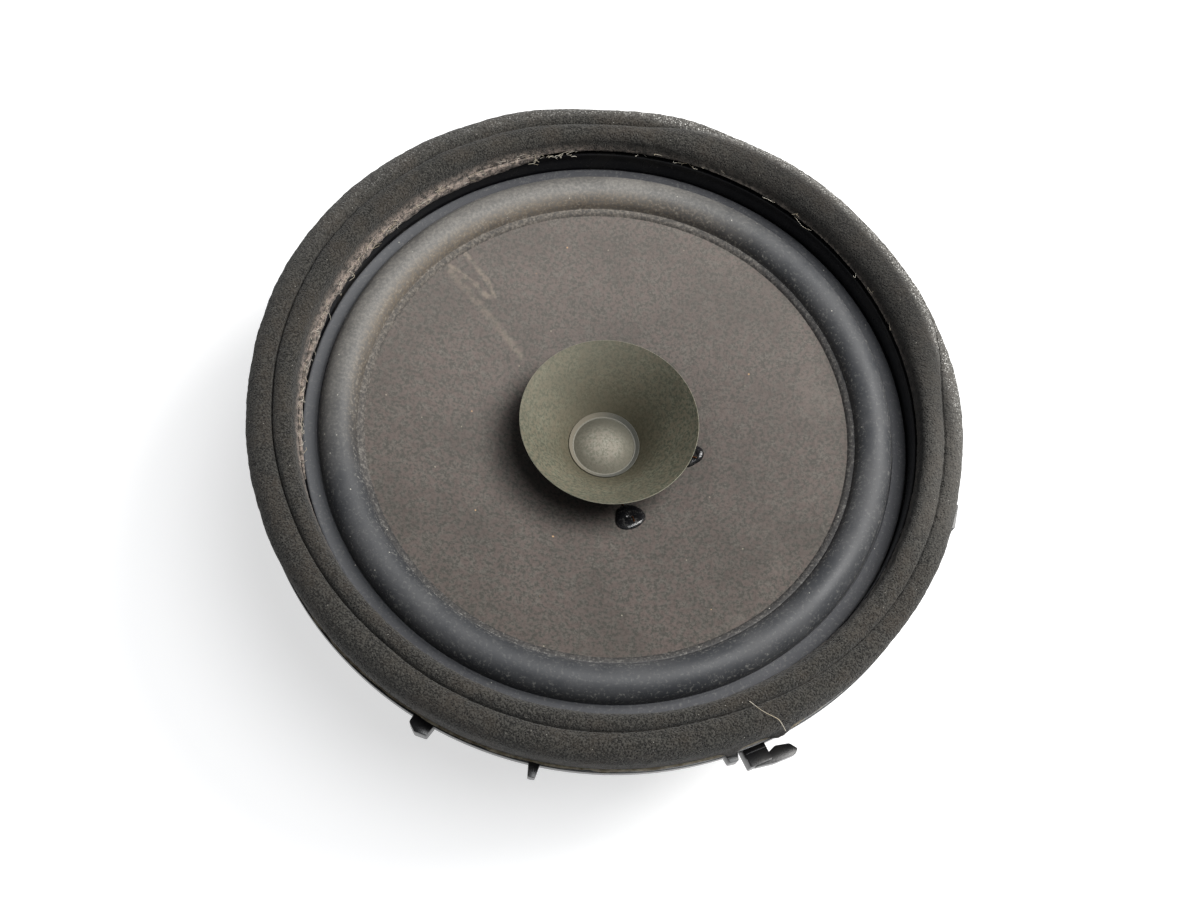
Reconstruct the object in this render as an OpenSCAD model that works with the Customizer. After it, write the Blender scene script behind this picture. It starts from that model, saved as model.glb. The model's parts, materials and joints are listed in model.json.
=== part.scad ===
// Round dual-cone loudspeaker: moulded basket, ring-magnet motor, paper cone with a
// small horn-shaped whizzer, rubber roll surround and a soft foam sealing ring.
// The origin is the centre of the magnet system's back face, and +Z is the way the cone looks.

/* [Front] */
// Outer radius of the rubber surround's glued rim
surround_r = 72; // [60:0.5:84]
// Width of the surround's flat rim, glued to the basket
rim_land = 3.8; // [2.5:0.1:5]
// Width of the surround's inner lip, glued to the cone
lip_land = 1.4; // [1:0.1:2.5]
// Radius of the surround's half-round roll
roll_r = 4.4; // [3:0.1:6]
// Thickness of the surround's rubber
rubber_t = 0.6; // [0.4:0.05:1]

/* [Basket] */
// Height of the surround's seat above the basket's floor
basket_depth = 34; // [29:0.5:44]
// Width of the mounting flange outside the upright rim
flange_w = 9.2; // [6:0.1:14]
// Thickness of the mounting flange
flange_t = 2.5; // [2:0.1:4]
// Thickness of the upright rim
rim_t = 1.5; // [1:0.1:2.5]
// Height of the upright rim above the surround's seat
rim_h = 5.8; // [5.2:0.1:9]
// Height of the round skirt that enters the mounting hole
skirt_h = 12; // [9:0.5:15]
// Wall of the skirt
skirt_t = 2.5; // [1.5:0.1:4]
// Thickness of the floor that carries the motor
floor_t = 2.5; // [2:0.1:4]
// Outer radius of the floor
floor_r = 34; // [32.5:0.5:37]
// Width of each spoke
spoke_w = 14; // [10:0.5:18]
// Thickness of each spoke
spoke_t = 3; // [2:0.1:5]
// Height of the spider's shelf above the floor's underside
shelf_h = 8; // [6.5:0.25:10]
// Width of the shelf wall
shelf_t = 3; // [2:0.1:4]

/* [Foam ring] */
// Height of the foam ring above the surround's seat
foam_h = 13.2; // [9:0.1:20]
// How far the foam bulges past the mounting flange
foam_bulge = 0.4; // [0:0.1:3]
// Thickness of the adhesive tape below the foam
tape_t = 0.3; // [0.2:0.05:1]

/* [Cones] */
// Height of the cone's neck above the spider's shelf
neck_lift = 3.5; // [3.5:0.1:5]
// Thickness of the cone's paper
cone_t = 0.6; // [0.4:0.05:1.2]
// Radius of the whizzer's rim
whizzer_r = 21.4; // [15:0.2:28]
// Height of the whizzer's rim above the surround's seat
whizzer_top = 0.9; // [-4:0.1:4]
// Thickness of the whizzer's paper
whizzer_t = 0.35; // [0.25:0.05:0.6]
// Height of the whizzer's throat above the cone's neck
throat_lift = 7.5; // [6:0.1:9]
// Height of the dust cap's dome
cap_dome_h = 2.4; // [1:0.1:4]
// Thickness of the dust cap
cap_t = 0.3; // [0.2:0.05:0.6]

/* [Voice coil and motor] */
// Inner radius of the voice coil former
coil_r = 7.75; // [6.5:0.05:9.5]
// Thickness of the former
former_t = 0.15; // [0.1:0.01:0.3]
// Thickness of the copper winding
winding_t = 0.4; // [0.2:0.05:0.6]
// Clearance on each side of the voice coil in the magnetic gap
gap_clearance = 0.35; // [0.25:0.05:0.6]
// Travel of the cone each way, by which the winding is also taller than the front plate
travel = 4; // [2:0.5:5]
// Radius of the ring magnet
magnet_r = 32; // [28:0.5:38]
// Radius of the hole in the ring magnet
magnet_bore_r = 12; // [11:0.5:14]
// Thickness of the ring magnet
magnet_t = 12; // [10:0.5:16]
// Radius of the front and back steel plates
plate_r = 30; // [28.5:0.5:33]
// Thickness of the front plate
plate_t = 4; // [3:0.5:6]
// Thickness of the back plate
yoke_t = 5; // [4:0.5:7]
// Bevel on the back plate's rear edge
yoke_bevel = 1.5; // [0.5:0.1:2.5]
// Number of rivets that hold the basket to the front plate
rivet_count = 4; // [3:1:6]
// Radius of the circle of motor rivets
rivet_circle_r = 23; // [20:0.5:25]
// Radius of a motor rivet's shank
rivet_r = 1.6; // [1:0.1:2]

/* [Spider] */
// Thickness of the spider's cloth
spider_t = 0.4; // [0.3:0.05:0.7]
// Number of waves in the spider
spider_waves = 4; // [2:1:6]
// Height of a wave from its middle
spider_wave_h = 1.1; // [0.5:0.1:1.4]

/* [Terminals and leads] */
// Direction of the terminal board, in degrees about the axis
terminal_az = -31; // [-180:1:180]
// How far the terminal board's inner face stands inside the skirt's outer face
board_inset = 4.5; // [4:0.5:7]
// Width of the terminal board
board_w = 27; // [24:0.5:32]
// Height of the terminal board
board_h = 12.5; // [10:0.5:14]
// Thickness of the terminal board
board_t = 1.6; // [1:0.1:2]
// Distance between the two terminals
terminal_pitch = 18.4; // [16:0.2:20]
// Width of the positive terminal's blade
blade_plus_w = 4.8; // [4:0.1:6.3]
// Width of the negative terminal's blade
blade_minus_w = 2.8; // [2:0.1:4.8]
// Thickness of a terminal blade
blade_t = 0.8; // [0.5:0.1:1]
// Length of a blade below the board
blade_drop = 8; // [6:0.5:10]
// Radius of a terminal rivet's shank
pin_r = 1.2; // [0.8:0.1:1.5]
// Distance of the lead eyelets from the axis
eyelet_r = 21.5; // [19:0.5:26]
// Angle between the two lead eyelets
eyelet_spread = 62; // [50:1:80]
// Radius of a braided lead
lead_r = 0.6; // [0.4:0.05:0.8]
// How far a lead sags between its ends
lead_sag = 4; // [2:0.5:5]

/* [Lugs] */
// Direction of the retaining hook
hook_az = -56; // [-70:0.5:-45]
// Direction of the thin fin
fin_az = -89.8; // [-98:0.5:-80]
// Direction of the bevelled lug
lug_az = -107.6; // [-125:0.5:-102]
// Direction of the side tab
tab_az = -2.6; // [-15:0.5:10]

/* [Hidden] */
$fn = 96;
// Space between pieces that are fixed to each other
fix_gap = 0.05;
// Space between pieces that move past each other
run_gap = 0.3;
// Overlap that makes cuts and unions clean
eps = 0.01;

// Levels above the motor's back face
magnet_top = yoke_t + magnet_t;
floor_z = magnet_top + plate_t;
seat_z = floor_z + basket_depth;
rubber_seat_z = seat_z - rubber_t;
flange_z = seat_z - 3.8;
flange_top_z = flange_z + flange_t;
skirt_z = seat_z - skirt_h;
shelf_z = floor_z + shelf_h;
neck_z = shelf_z + neck_lift;
throat_z = neck_z + throat_lift;
gap_mid_z = magnet_top + plate_t / 2;
winding_h = plate_t + travel;
coil_bottom_z = gap_mid_z - winding_h / 2 - 0.5;
former_top_z = throat_z - 2;
sleeve_bottom_z = neck_z + 1.5;
collar_bottom_z = neck_z - 1.6;

// Radii of the front
roll_mid_r = surround_r - rim_land - roll_r;
cone_r = roll_mid_r - roll_r;
lip_r = cone_r - lip_land;
lip_z = seat_z + 0.2;
seat_inner_r = surround_r - rim_land - 1.7;
rim_in_r = surround_r + run_gap;
rim_out_r = rim_in_r + rim_t;
flange_r = rim_out_r + flange_w;
skirt_r = surround_r - 1;
// Where a spoke ends, with its corners inside the skirt
spoke_r = sqrt(skirt_r * skirt_r - spoke_w * spoke_w / 4) - fix_gap;
// Distance of the terminal board's inner face from the axis
board_r = skirt_r - board_inset;

// Radii of the voice coil and of what it passes
former_r = coil_r + former_t;
winding_r = former_r + winding_t;
pole_r = coil_r - gap_clearance;
plate_bore_r = winding_r + gap_clearance;
sleeve_r = former_r + fix_gap;
neck_r = sleeve_r + whizzer_t + 0.15;
spider_r = floor_r - 1;
spider_z = shelf_z + spider_t / 2 + fix_gap;

// Terminals
board_top_z = skirt_z - 4.5;
board_bottom_z = board_top_z - board_h;
pin_z = board_top_z - 4;
pad_t = 2;
pad_w = 12;
head_t = 0.8;
eyelet_hole_r = 1;
eyelet_len = 2.4;

// Height of the cone's front surface at radius r: steep at the neck, flat at the lip
function cone_z(r) = neck_z + (lip_z - neck_z) * sqrt(max(0, (r - neck_r) / (cone_r - neck_r)));
// Slope of that surface, in degrees
function cone_slope(r) = atan((cone_z(r + 0.5) - cone_z(r - 0.5)));
// Height of the whizzer's front surface at radius r
function whizzer_z(r) = let (s = (r - sleeve_r) / (whizzer_r - sleeve_r))
    throat_z + (seat_z + whizzer_top - throat_z) * (0.94 * s + 0.06 * sqrt(s));
// Height of the spider's middle at radius r: flat at both ends
function spider_mid_z(r) = let (a = former_r + 3, b = spider_r - shelf_t - 0.6)
    spider_z + ((r > a && r < b) ? spider_wave_h * sin(360 * spider_waves * (r - a) / (b - a)) : 0);
// A closed outline of thickness t below a list of points
function shell(top, t) = concat(top, [for (i = [len(top) - 1 : -1 : 0]) top[i] - [0, t]]);

// Points of an arc about c
function arc(c, r, from, to) = [for (i = [0 : 8]) let (t = from + (to - from) * i / 8)
    c + r * [cos(t), sin(t)]];

function unit(v) = v / norm(v);
function along(path, i) = unit(path[min(i + 1, len(path) - 1)] - path[max(i - 1, 0)]);

// A round tube along a path that never runs along Y
module tube(path, r) {
    n = 8;
    last = (len(path) - 1) * n;
    rings = [for (i = [0 : len(path) - 1])
        let (t = along(path, i), u = unit(cross([0, 1, 0], t)), v = cross(t, u))
        for (k = [0 : n - 1]) path[i] + r * (cos(360 * k / n) * u + sin(360 * k / n) * v)];
    sides = [for (i = [0 : len(path) - 2]) for (k = [0 : n - 1])
        [i * n + k, (i + 1) * n + k, (i + 1) * n + (k + 1) % n, i * n + (k + 1) % n]];
    start = [for (k = [0 : n - 1]) k];
    end = [for (k = [n - 1 : -1 : 0]) last + k];
    polyhedron(points = rings, faces = concat(sides, [start, end]), convexity = 6);
}

// A flat ring from radius a to radius b, between two levels
module ring(a, b, z1, z2) {
    translate([0, 0, z1]) difference() {
        cylinder(r = b, h = z2 - z1);
        translate([0, 0, -1]) cylinder(r = a, h = z2 - z1 + 2);
    }
}

// Puts a piece at an azimuth, its X pointing outward
module facing(az) {
    rotate([0, 0, az]) children();
}

// A cylinder along X, from x1 to x2
module rod_x(r, x1, x2, y, z) {
    translate([x1, y, z]) rotate([0, 90, 0]) cylinder(r = r, h = x2 - x1, $fn = 32);
}

// Puts a piece on the cone at a lead's eyelet, its Z square to the paper
module at_eyelet(side) {
    facing(terminal_az + side * eyelet_spread / 2) translate([eyelet_r, 0, cone_z(eyelet_r)])
        rotate([0, -cone_slope(eyelet_r), 0]) children();
}

// Places of the motor rivets, between the spokes
module at_motor_rivets() {
    for (i = [0 : rivet_count - 1]) facing(terminal_az + 45 + 360 * i / rivet_count)
        translate([rivet_circle_r, 0, 0]) children();
}

module spoke() {
    outer = [[floor_r, floor_z], [spoke_r, skirt_z], [spoke_r, skirt_z + 1]];
    inner = [[skirt_r - skirt_t, skirt_z + spoke_t], [floor_r - 3, floor_z + spoke_t]];
    rotate([90, 0, 0]) linear_extrude(height = spoke_w, center = true)
        polygon(concat(outer, inner, [[floor_r - 3, floor_z]]));
    // Stiffening rib along the middle of the spoke
    rotate([90, 0, 0]) linear_extrude(height = 2.4, center = true)
        polygon([[floor_r - 1, floor_z], [floor_r + 8, floor_z + 1], [board_r - pad_t - 3, skirt_z - 6],
                 [skirt_r - 6, skirt_z - 1], [floor_r, floor_z + 1]]);
}

// Hook with a sideways arm, proud of the flange's edge
module hook() {
    facing(hook_az) {
        translate([flange_r - 0.6, -2.6, flange_top_z - 4.6]) cube([4.6, 5.2, 4.6]);
        translate([0, 0, flange_top_z - 2.8]) linear_extrude(height = 2)
            polygon([[flange_r + 1.6, 2.2], [flange_r + 4, -0.5], [flange_r + 4.8, 3],
                     [flange_r + 5.2, 9], [flange_r + 4, 10], [flange_r + 2.2, 8.6]]);
    }
}

// Thin upright fin below the foam
module fin() {
    facing(fin_az) translate([0, 0, flange_top_z - 3]) linear_extrude(height = 3)
        polygon([[flange_r - 0.5, -1.3], [flange_r + 2.8, -0.8], [flange_r + 2.8, 0.8],
                 [flange_r - 0.5, 1.3]]);
}

// Lug with a bevelled corner
module lug() {
    facing(lug_az) translate([0, 0, flange_top_z - 4]) linear_extrude(height = 4)
        polygon([[flange_r - 0.6, -2.6], [flange_r + 2, -2.6], [flange_r + 3.1, -0.6],
                 [flange_r + 2.6, 2.2], [flange_r - 0.6, 2.6]]);
}

// Small square tab
module tab() {
    facing(tab_az) translate([flange_r - 0.6, -3.2, flange_top_z - 2.8]) cube([3.4, 6.4, 2.8]);
}

module basket() {
    color([0.07, 0.07, 0.08]) difference() {
        union() {
            ring(seat_inner_r, rim_in_r + eps, flange_z, rubber_seat_z);
            ring(rim_in_r, rim_out_r, flange_z, seat_z + rim_h);
            ring(rim_out_r - eps, flange_r, flange_z, flange_top_z);
            ring(skirt_r - skirt_t, skirt_r, skirt_z, flange_z + eps);
            ring(plate_bore_r + 7, floor_r, floor_z, floor_z + floor_t);
            ring(spider_r - shelf_t, spider_r, floor_z, shelf_z);
            for (i = [0 : 3]) facing(terminal_az + 90 * i) spoke();
            // Pad that carries the terminal board
            facing(terminal_az) translate([board_r - pad_t, -pad_w / 2, board_bottom_z])
                cube([pad_t, pad_w, skirt_z - 1 - board_bottom_z]);
            hook();
            fin();
            lug();
            tab();
        }
        at_motor_rivets() translate([0, 0, floor_z - 1])
            cylinder(r = rivet_r + fix_gap, h = floor_t + 2, $fn = 32);
        facing(terminal_az) for (y = [-3.5, 3.5])
            rod_x(pin_r + fix_gap, board_r - pad_t - 1, board_r + 1, y, pin_z - 2.2);
    }
}

// Foam ring: two soft lobes with a crease between them, on a tapering foot
module foam_gasket() {
    inner_r = rim_out_r + fix_gap;
    outer_r = flange_r + foam_bulge;
    top = seat_z + foam_h;
    base = flange_top_z + tape_t;
    lip = seat_z + rim_h;
    // Radii of the lobes, which together are wider than the ring so that they always meet
    w = outer_r - inner_r;
    r1 = 0.373 * w;
    r2 = 0.249 * w;
    c1 = [outer_r - r1, top - r1 - 0.1];
    c2 = [inner_r + r2 - 0.9, top - r2];
    // Angles at which the lobes meet, from the triangle of their centres and the crease
    d = norm(c2 - c1);
    lean = atan2(c2[1] - c1[1], c2[0] - c1[0]);
    end1 = lean - acos((d * d + r1 * r1 - r2 * r2) / (2 * d * r1));
    end2 = lean - 180 + acos((d * d + r2 * r2 - r1 * r1) / (2 * d * r2));
    color([0.24, 0.22, 0.2]) rotate_extrude()
        polygon(concat([[inner_r, base], [flange_r - 0.8, base], [outer_r - 0.2, base + 6]],
                       arc(c1, r1, 0, end1), arc(c2, r2, end2, 180),
                       [[inner_r - 0.9, lip + 2], [inner_r - 0.3, lip + fix_gap], [inner_r, lip + fix_gap]]));
}

module foam_adhesive() {
    color([0.75, 0.7, 0.5])
        ring(rim_out_r + 0.4, flange_r - 0.6, flange_top_z, flange_top_z + tape_t);
}

// Rubber roll with a flat rim outside and a lip on the cone
module surround() {
    arc = [for (i = [0 : 12]) let (t = 180 - 15 * i)
        [roll_mid_r + roll_r * cos(t), lip_z + rubber_t + roll_r * sin(t)]];
    under = [for (i = [0 : 12]) let (t = 15 * i, r = roll_r - rubber_t)
        [roll_mid_r + r * cos(t), lip_z + rubber_t + r * sin(t)]];
    color([0.15, 0.16, 0.18]) rotate_extrude()
        polygon(concat([[lip_r, lip_z + fix_gap], [lip_r, lip_z + rubber_t]], arc,
                       [[roll_mid_r + roll_r + 0.4, seat_z], [surround_r, seat_z],
                        [surround_r, rubber_seat_z], [roll_mid_r + roll_r - rubber_t, rubber_seat_z]],
                       under, [[roll_mid_r - roll_r + rubber_t, lip_z + fix_gap]]));
}

module cone() {
    steps = 16;
    top = [for (i = [0 : steps]) let (r = neck_r + (cone_r - neck_r) * pow(i / steps, 1.6))
        [r, cone_z(r)]];
    collar = [[neck_r + 0.3, collar_bottom_z], [sleeve_r, collar_bottom_z]];
    under = [for (i = [steps : -1 : 1]) top[i] - [-min(0.25, 0.4 / i), cone_t]];
    color([0.33, 0.29, 0.27]) difference() {
        rotate_extrude()
            polygon(concat([[sleeve_r, neck_z]], top, [top[steps] - [0, cone_t]], under, collar));
        for (side = [-1, 1]) at_eyelet(side)
            translate([0, 0, -3]) cylinder(r = eyelet_hole_r + fix_gap, h = 6, $fn = 32);
    }
}

module whizzer_cone() {
    steps = 8;
    top = [for (i = [0 : steps]) let (r = sleeve_r + (whizzer_r - sleeve_r) * pow(i / steps, 1.5))
        [r, whizzer_z(r)]];
    under = [for (i = [steps : -1 : 1]) top[i] + [whizzer_t * 0.7, -whizzer_t * 0.7]];
    sleeve = [[sleeve_r + whizzer_t, throat_z - 0.2], [sleeve_r + whizzer_t, sleeve_bottom_z],
              [sleeve_r, sleeve_bottom_z]];
    color([0.4, 0.39, 0.33]) rotate_extrude() polygon(concat(top, under, sleeve));
}

// Domed cap with a short skirt that is glued inside the whizzer's throat
module dust_cap() {
    base_r = sleeve_r - 0.15;
    edge_r = sleeve_r + 0.85;
    lift = 0.12;
    dome = [for (i = [0 : 8]) let (r = base_r * i / 8)
        [r, throat_z + lift + cap_t + cap_dome_h * (1 - pow(r / base_r, 2))]];
    edge = [edge_r, whizzer_z(edge_r) + lift];
    color([0.42, 0.41, 0.37]) rotate_extrude()
        polygon(concat(dome, [edge + [0, cap_t], edge, [base_r, throat_z + lift]],
                       [for (i = [7 : -1 : 0]) dome[i] - [0, cap_t]]));
}

// Glue that joins the whizzer's sleeve to the cone's neck
module neck_glue() {
    bottom = sleeve_bottom_z + 0.4;
    top = bottom + 1.5;
    r = sleeve_r + whizzer_t + fix_gap;
    color([0.12, 0.1, 0.09]) rotate_extrude()
        polygon([[r, bottom], [r + 0.25, bottom], [r + 0.45, top - 0.4], [r, top]]);
}

module voice_coil_former() {
    color([0.75, 0.55, 0.3]) ring(coil_r, former_r, coil_bottom_z, former_top_z);
}

module voice_coil_winding() {
    color([0.72, 0.35, 0.15])
        ring(former_r, winding_r, gap_mid_z - winding_h / 2, gap_mid_z + winding_h / 2);
}

// Corrugated cloth disc that centres the voice coil
module spider() {
    steps = spider_waves * 10;
    a = former_r + 3;
    b = spider_r - shelf_t - 0.6;
    waves = [for (i = [0 : steps]) let (r = a + (b - a) * i / steps)
        [r, spider_mid_z(r) + spider_t / 2]];
    collar = [[sleeve_r, spider_z + 0.7], [sleeve_r + spider_t, spider_z + 0.7],
              [sleeve_r + spider_t, spider_z + spider_t / 2]];
    top = concat(waves, [[spider_r, spider_z + spider_t / 2]]);
    under = [for (i = [len(top) - 1 : -1 : 0]) top[i] - [0, spider_t]];
    color([0.62, 0.5, 0.25]) rotate_extrude()
        polygon(concat(collar, top, under, [[sleeve_r, spider_z - spider_t / 2]]));
}

module top_plate() {
    color([0.62, 0.6, 0.45]) difference() {
        ring(plate_bore_r, plate_r, magnet_top, floor_z);
        at_motor_rivets() translate([0, 0, magnet_top - 1])
            cylinder(r = rivet_r + fix_gap, h = plate_t + 2, $fn = 32);
    }
}

module magnet() {
    color([0.2, 0.2, 0.21]) ring(magnet_bore_r, magnet_r, yoke_t, magnet_top);
}

// Back plate and pole in one piece
module yoke() {
    color([0.62, 0.6, 0.45]) rotate_extrude()
        polygon([[0, 0], [plate_r - yoke_bevel, 0], [plate_r, yoke_bevel], [plate_r, yoke_t],
                 [pole_r + 1.2, yoke_t], [pole_r, yoke_t + 1.2], [pole_r, floor_z - 0.4],
                 [pole_r - 0.4, floor_z], [0, floor_z]]);
}

module motor_rivets() {
    color([0.7, 0.7, 0.7]) at_motor_rivets() {
        translate([0, 0, magnet_top + 0.1]) cylinder(r = rivet_r, h = floor_t + plate_t, $fn = 32);
        translate([0, 0, floor_z + floor_t]) cylinder(r1 = rivet_r * 1.6, r2 = rivet_r, h = 1.2, $fn = 32);
    }
}

module terminal_board() {
    color([0.45, 0.27, 0.14]) facing(terminal_az) difference() {
        translate([board_r, -board_w / 2, board_bottom_z]) cube([board_t, board_w, board_h]);
        for (y = [-3.5, 3.5]) rod_x(pin_r + fix_gap, board_r - 1, board_r + board_t + 1, y, pin_z - 2.2);
        for (s = [-1, 1])
            rod_x(pin_r + fix_gap, board_r - 1, board_r + board_t + 1, s * terminal_pitch / 2, pin_z);
    }
}

module board_rivets() {
    color([0.75, 0.75, 0.72]) facing(terminal_az) for (y = [-3.5, 3.5]) {
        z = pin_z - 2.2;
        rod_x(pin_r, board_r - pad_t, board_r + board_t, y, z);
        rod_x(pin_r * 1.7, board_r - pad_t - head_t, board_r - pad_t, y, z);
        rod_x(pin_r * 1.7, board_r + board_t, board_r + board_t + head_t, y, z);
    }
}

// Push-on blade that hangs below the board
module blade(w) {
    x = board_r + board_t;
    z = board_bottom_z - blade_drop;
    difference() {
        translate([x + blade_t, 0, 0]) rotate([0, -90, 0]) linear_extrude(height = blade_t)
            polygon([[z, -w / 2 + 0.8], [z + 1.2, -w / 2], [board_bottom_z, -w / 2], [pin_z - 2.6, -2.4],
                     [pin_z + 2.6, -2.4], [pin_z + 2.6, 2.4], [pin_z - 2.6, 2.4],
                     [board_bottom_z, w / 2], [z + 1.2, w / 2], [z, w / 2 - 0.8]]);
        rod_x(pin_r + fix_gap, x - 1, x + blade_t + 1, 0, pin_z);
    }
}

module terminal_positive() {
    color([0.8, 0.78, 0.7]) facing(terminal_az)
        translate([0, terminal_pitch / 2, 0]) blade(blade_plus_w);
}

module terminal_negative() {
    color([0.8, 0.78, 0.7]) facing(terminal_az)
        translate([0, -terminal_pitch / 2, 0]) blade(blade_minus_w);
}

module terminal_rivets() {
    color([0.75, 0.75, 0.72]) facing(terminal_az) for (s = [-1, 1]) {
        y = s * terminal_pitch / 2;
        x = board_r + board_t + blade_t;
        rod_x(pin_r, board_r, x, y, pin_z);
        rod_x(pin_r * 1.6, board_r - head_t, board_r, y, pin_z);
        rod_x(pin_r * 1.6, x, x + head_t, y, pin_z);
    }
}

// Braided lead from a terminal's rivet to the underside of the cone, with slack for the travel
module lead(side) {
    tilt = cone_slope(eyelet_r);
    half = eyelet_spread / 2;
    reach = eyelet_len / 2 + 0.7;
    start = [board_r - head_t - fix_gap, side * terminal_pitch / 2, pin_z];
    end = [(eyelet_r + reach * sin(tilt)) * cos(half), side * (eyelet_r + reach * sin(tilt)) * sin(half),
           cone_z(eyelet_r) - reach * cos(tilt)];
    steps = 24;
    path = [for (i = [0 : steps]) let (t = i / steps)
        start + (end - start) * t - [0, 0, lead_sag * sin(180 * t)]];
    facing(terminal_az) tube(path, lead_r);
}

module tinsel_lead_positive() {
    color([0.72, 0.5, 0.3]) lead(1);
}

module tinsel_lead_negative() {
    color([0.72, 0.5, 0.3]) lead(-1);
}

module lead_eyelets() {
    color([0.8, 0.65, 0.35]) for (side = [-1, 1]) at_eyelet(side) {
        translate([0, 0, -cone_t - 0.7]) cylinder(r = eyelet_hole_r, h = eyelet_len - 0.6, $fn = 32);
        translate([0, 0, -cone_t - 0.9]) cylinder(r = eyelet_hole_r + 0.6, h = 0.5, $fn = 32);
    }
}

// Drop of glue over each eyelet
module eyelet_glue() {
    color([0.03, 0.03, 0.03]) for (side = [-1, 1]) at_eyelet(side) difference() {
        translate([0, 0, -2.4]) sphere(r = 4.1, $fn = 48);
        translate([-6, -6, -8]) cube([12, 12, 8.15]);
        cylinder(r = eyelet_hole_r + fix_gap, h = 0.6, $fn = 32);
    }
}

// Fine wires from the drops of glue to the cone's neck, on the front of the paper
module voice_coil_tails() {
    inner_r = neck_r + 2;
    outer_r = eyelet_r - 3.5;
    path = [for (i = [0 : 8]) let (r = inner_r + (outer_r - inner_r) * i / 8)
        [r, 0, cone_z(r) + 0.45]];
    color([0.7, 0.4, 0.2]) for (side = [-1, 1])
        facing(terminal_az + side * eyelet_spread / 2) tube(path, 0.2);
}

basket();
foam_gasket();
foam_adhesive();
surround();
cone();
whizzer_cone();
dust_cap();
neck_glue();
voice_coil_former();
voice_coil_winding();
spider();
top_plate();
magnet();
yoke();
motor_rivets();
terminal_board();
board_rivets();
terminal_positive();
terminal_negative();
terminal_rivets();
tinsel_lead_positive();
tinsel_lead_negative();
lead_eyelets();
eyelet_glue();
voice_coil_tails();
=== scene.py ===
"""A dual-cone car loudspeaker lying face up on a pale floor, in a plain soft studio."""

import json
import math
from itertools import product

import bmesh
import bpy
import numpy as np
from mathutils import Matrix, Vector


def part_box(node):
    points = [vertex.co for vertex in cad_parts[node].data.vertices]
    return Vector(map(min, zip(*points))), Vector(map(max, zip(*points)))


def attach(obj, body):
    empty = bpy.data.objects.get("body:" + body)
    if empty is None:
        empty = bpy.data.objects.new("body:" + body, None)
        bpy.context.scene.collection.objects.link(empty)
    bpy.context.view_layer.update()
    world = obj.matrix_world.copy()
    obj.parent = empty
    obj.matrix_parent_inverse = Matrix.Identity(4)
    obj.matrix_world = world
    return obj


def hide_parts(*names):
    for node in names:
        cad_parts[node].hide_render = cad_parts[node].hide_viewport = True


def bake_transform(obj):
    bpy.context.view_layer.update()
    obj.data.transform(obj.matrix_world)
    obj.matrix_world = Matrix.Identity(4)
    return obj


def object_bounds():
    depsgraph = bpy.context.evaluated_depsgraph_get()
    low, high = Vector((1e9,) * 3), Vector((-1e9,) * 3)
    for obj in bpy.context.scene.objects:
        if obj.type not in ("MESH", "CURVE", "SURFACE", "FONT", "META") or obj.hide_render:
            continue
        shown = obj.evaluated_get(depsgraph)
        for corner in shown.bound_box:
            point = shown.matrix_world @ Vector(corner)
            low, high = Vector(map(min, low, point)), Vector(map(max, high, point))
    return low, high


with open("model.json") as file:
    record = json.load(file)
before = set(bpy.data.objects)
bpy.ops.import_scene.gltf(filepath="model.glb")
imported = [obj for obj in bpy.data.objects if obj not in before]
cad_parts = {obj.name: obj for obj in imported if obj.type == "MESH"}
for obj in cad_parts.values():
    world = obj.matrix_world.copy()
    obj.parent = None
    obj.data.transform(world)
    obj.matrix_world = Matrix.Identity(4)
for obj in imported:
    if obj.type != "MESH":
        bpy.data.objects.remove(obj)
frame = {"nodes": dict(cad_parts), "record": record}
cad_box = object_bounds()

MM = 0.001
FIXED = "chassis"
MOVING = "cone_assembly"

# ---- sizes, from the frame


def corners(node):
    """The vertices of a CAD node."""
    mesh = frame["nodes"][node].data
    co = np.zeros(len(mesh.vertices) * 3, np.float32)
    mesh.vertices.foreach_get("co", co)
    return co.reshape(-1, 3).astype(float)


def radii(p):
    """Distances of points from the axis."""
    return np.hypot(p[..., 0], p[..., 1])


def section(node):
    """Radii and heights of a CAD node's vertices."""
    p = corners(node)
    return radii(p), p[:, 2]


def azimuths(node):
    """The two directions of a node that is a pair of solids about the axis."""
    p = corners(node)
    a = np.arctan2(p[:, 1], p[:, 0])
    middle = (a.max() + a.min()) / 2
    return [float(a[a > middle].mean()), float(a[a <= middle].mean())]


mounts = {m["name"]: m for m in frame["record"]["mounts"]}
close = 0.05 * MM  # vertices this near an edge belong to it

r, z = section("surround")
rim_r = r.max()
seat_z = z[r > rim_r - close].max()
lip_r = r.min()
lip_top = z[r < lip_r + close].max()
roll_top = z.max()
roll_mid = r[z > roll_top - close].mean()
roll_r = roll_top - lip_top
rubber_t = 0.6 * MM

r, z = section("basket")
wall_top = z.max()
wall_in = r[z > wall_top - close].min()
wall_out = r[z > wall_top - close].max()
seat_in = r[abs(z - seat_z + rubber_t) < close].min()
floor_z = z.min()
floor_in = r.min()
floor_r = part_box("spider")[1].x + 1 * MM
flange_z = mounts["flange_seat"]["pos_m"][2]
skirt_r = mounts["mounting_spigot"]["dims"]["r_mm"] * MM
skirt_z = flange_z - mounts["mounting_spigot"]["dims"]["length_mm"] * MM
skirt_in = skirt_r - 2.5 * MM
flange_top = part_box("foam_adhesive")[0].z
flange_r = section("foam_adhesive")[0].max() + 0.6 * MM

r, z = section("cone")
cone_r = r.max()
lip_z = z.max()
cone_bottom = z.min()
sleeve_r = r.min()
neck_z = z[r < sleeve_r + close].max()
neck_r = r[abs(z - neck_z) < close].max()
cone_t = 0.6 * MM

r, z = section("whizzer_cone")
whizzer_r = r[z > z.max() - close].min()
whizzer_top = z.max()
sleeve_z = z.min()
throat_z = z[r < sleeve_r + close].max()
whizzer_t = 0.35 * MM

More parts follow.
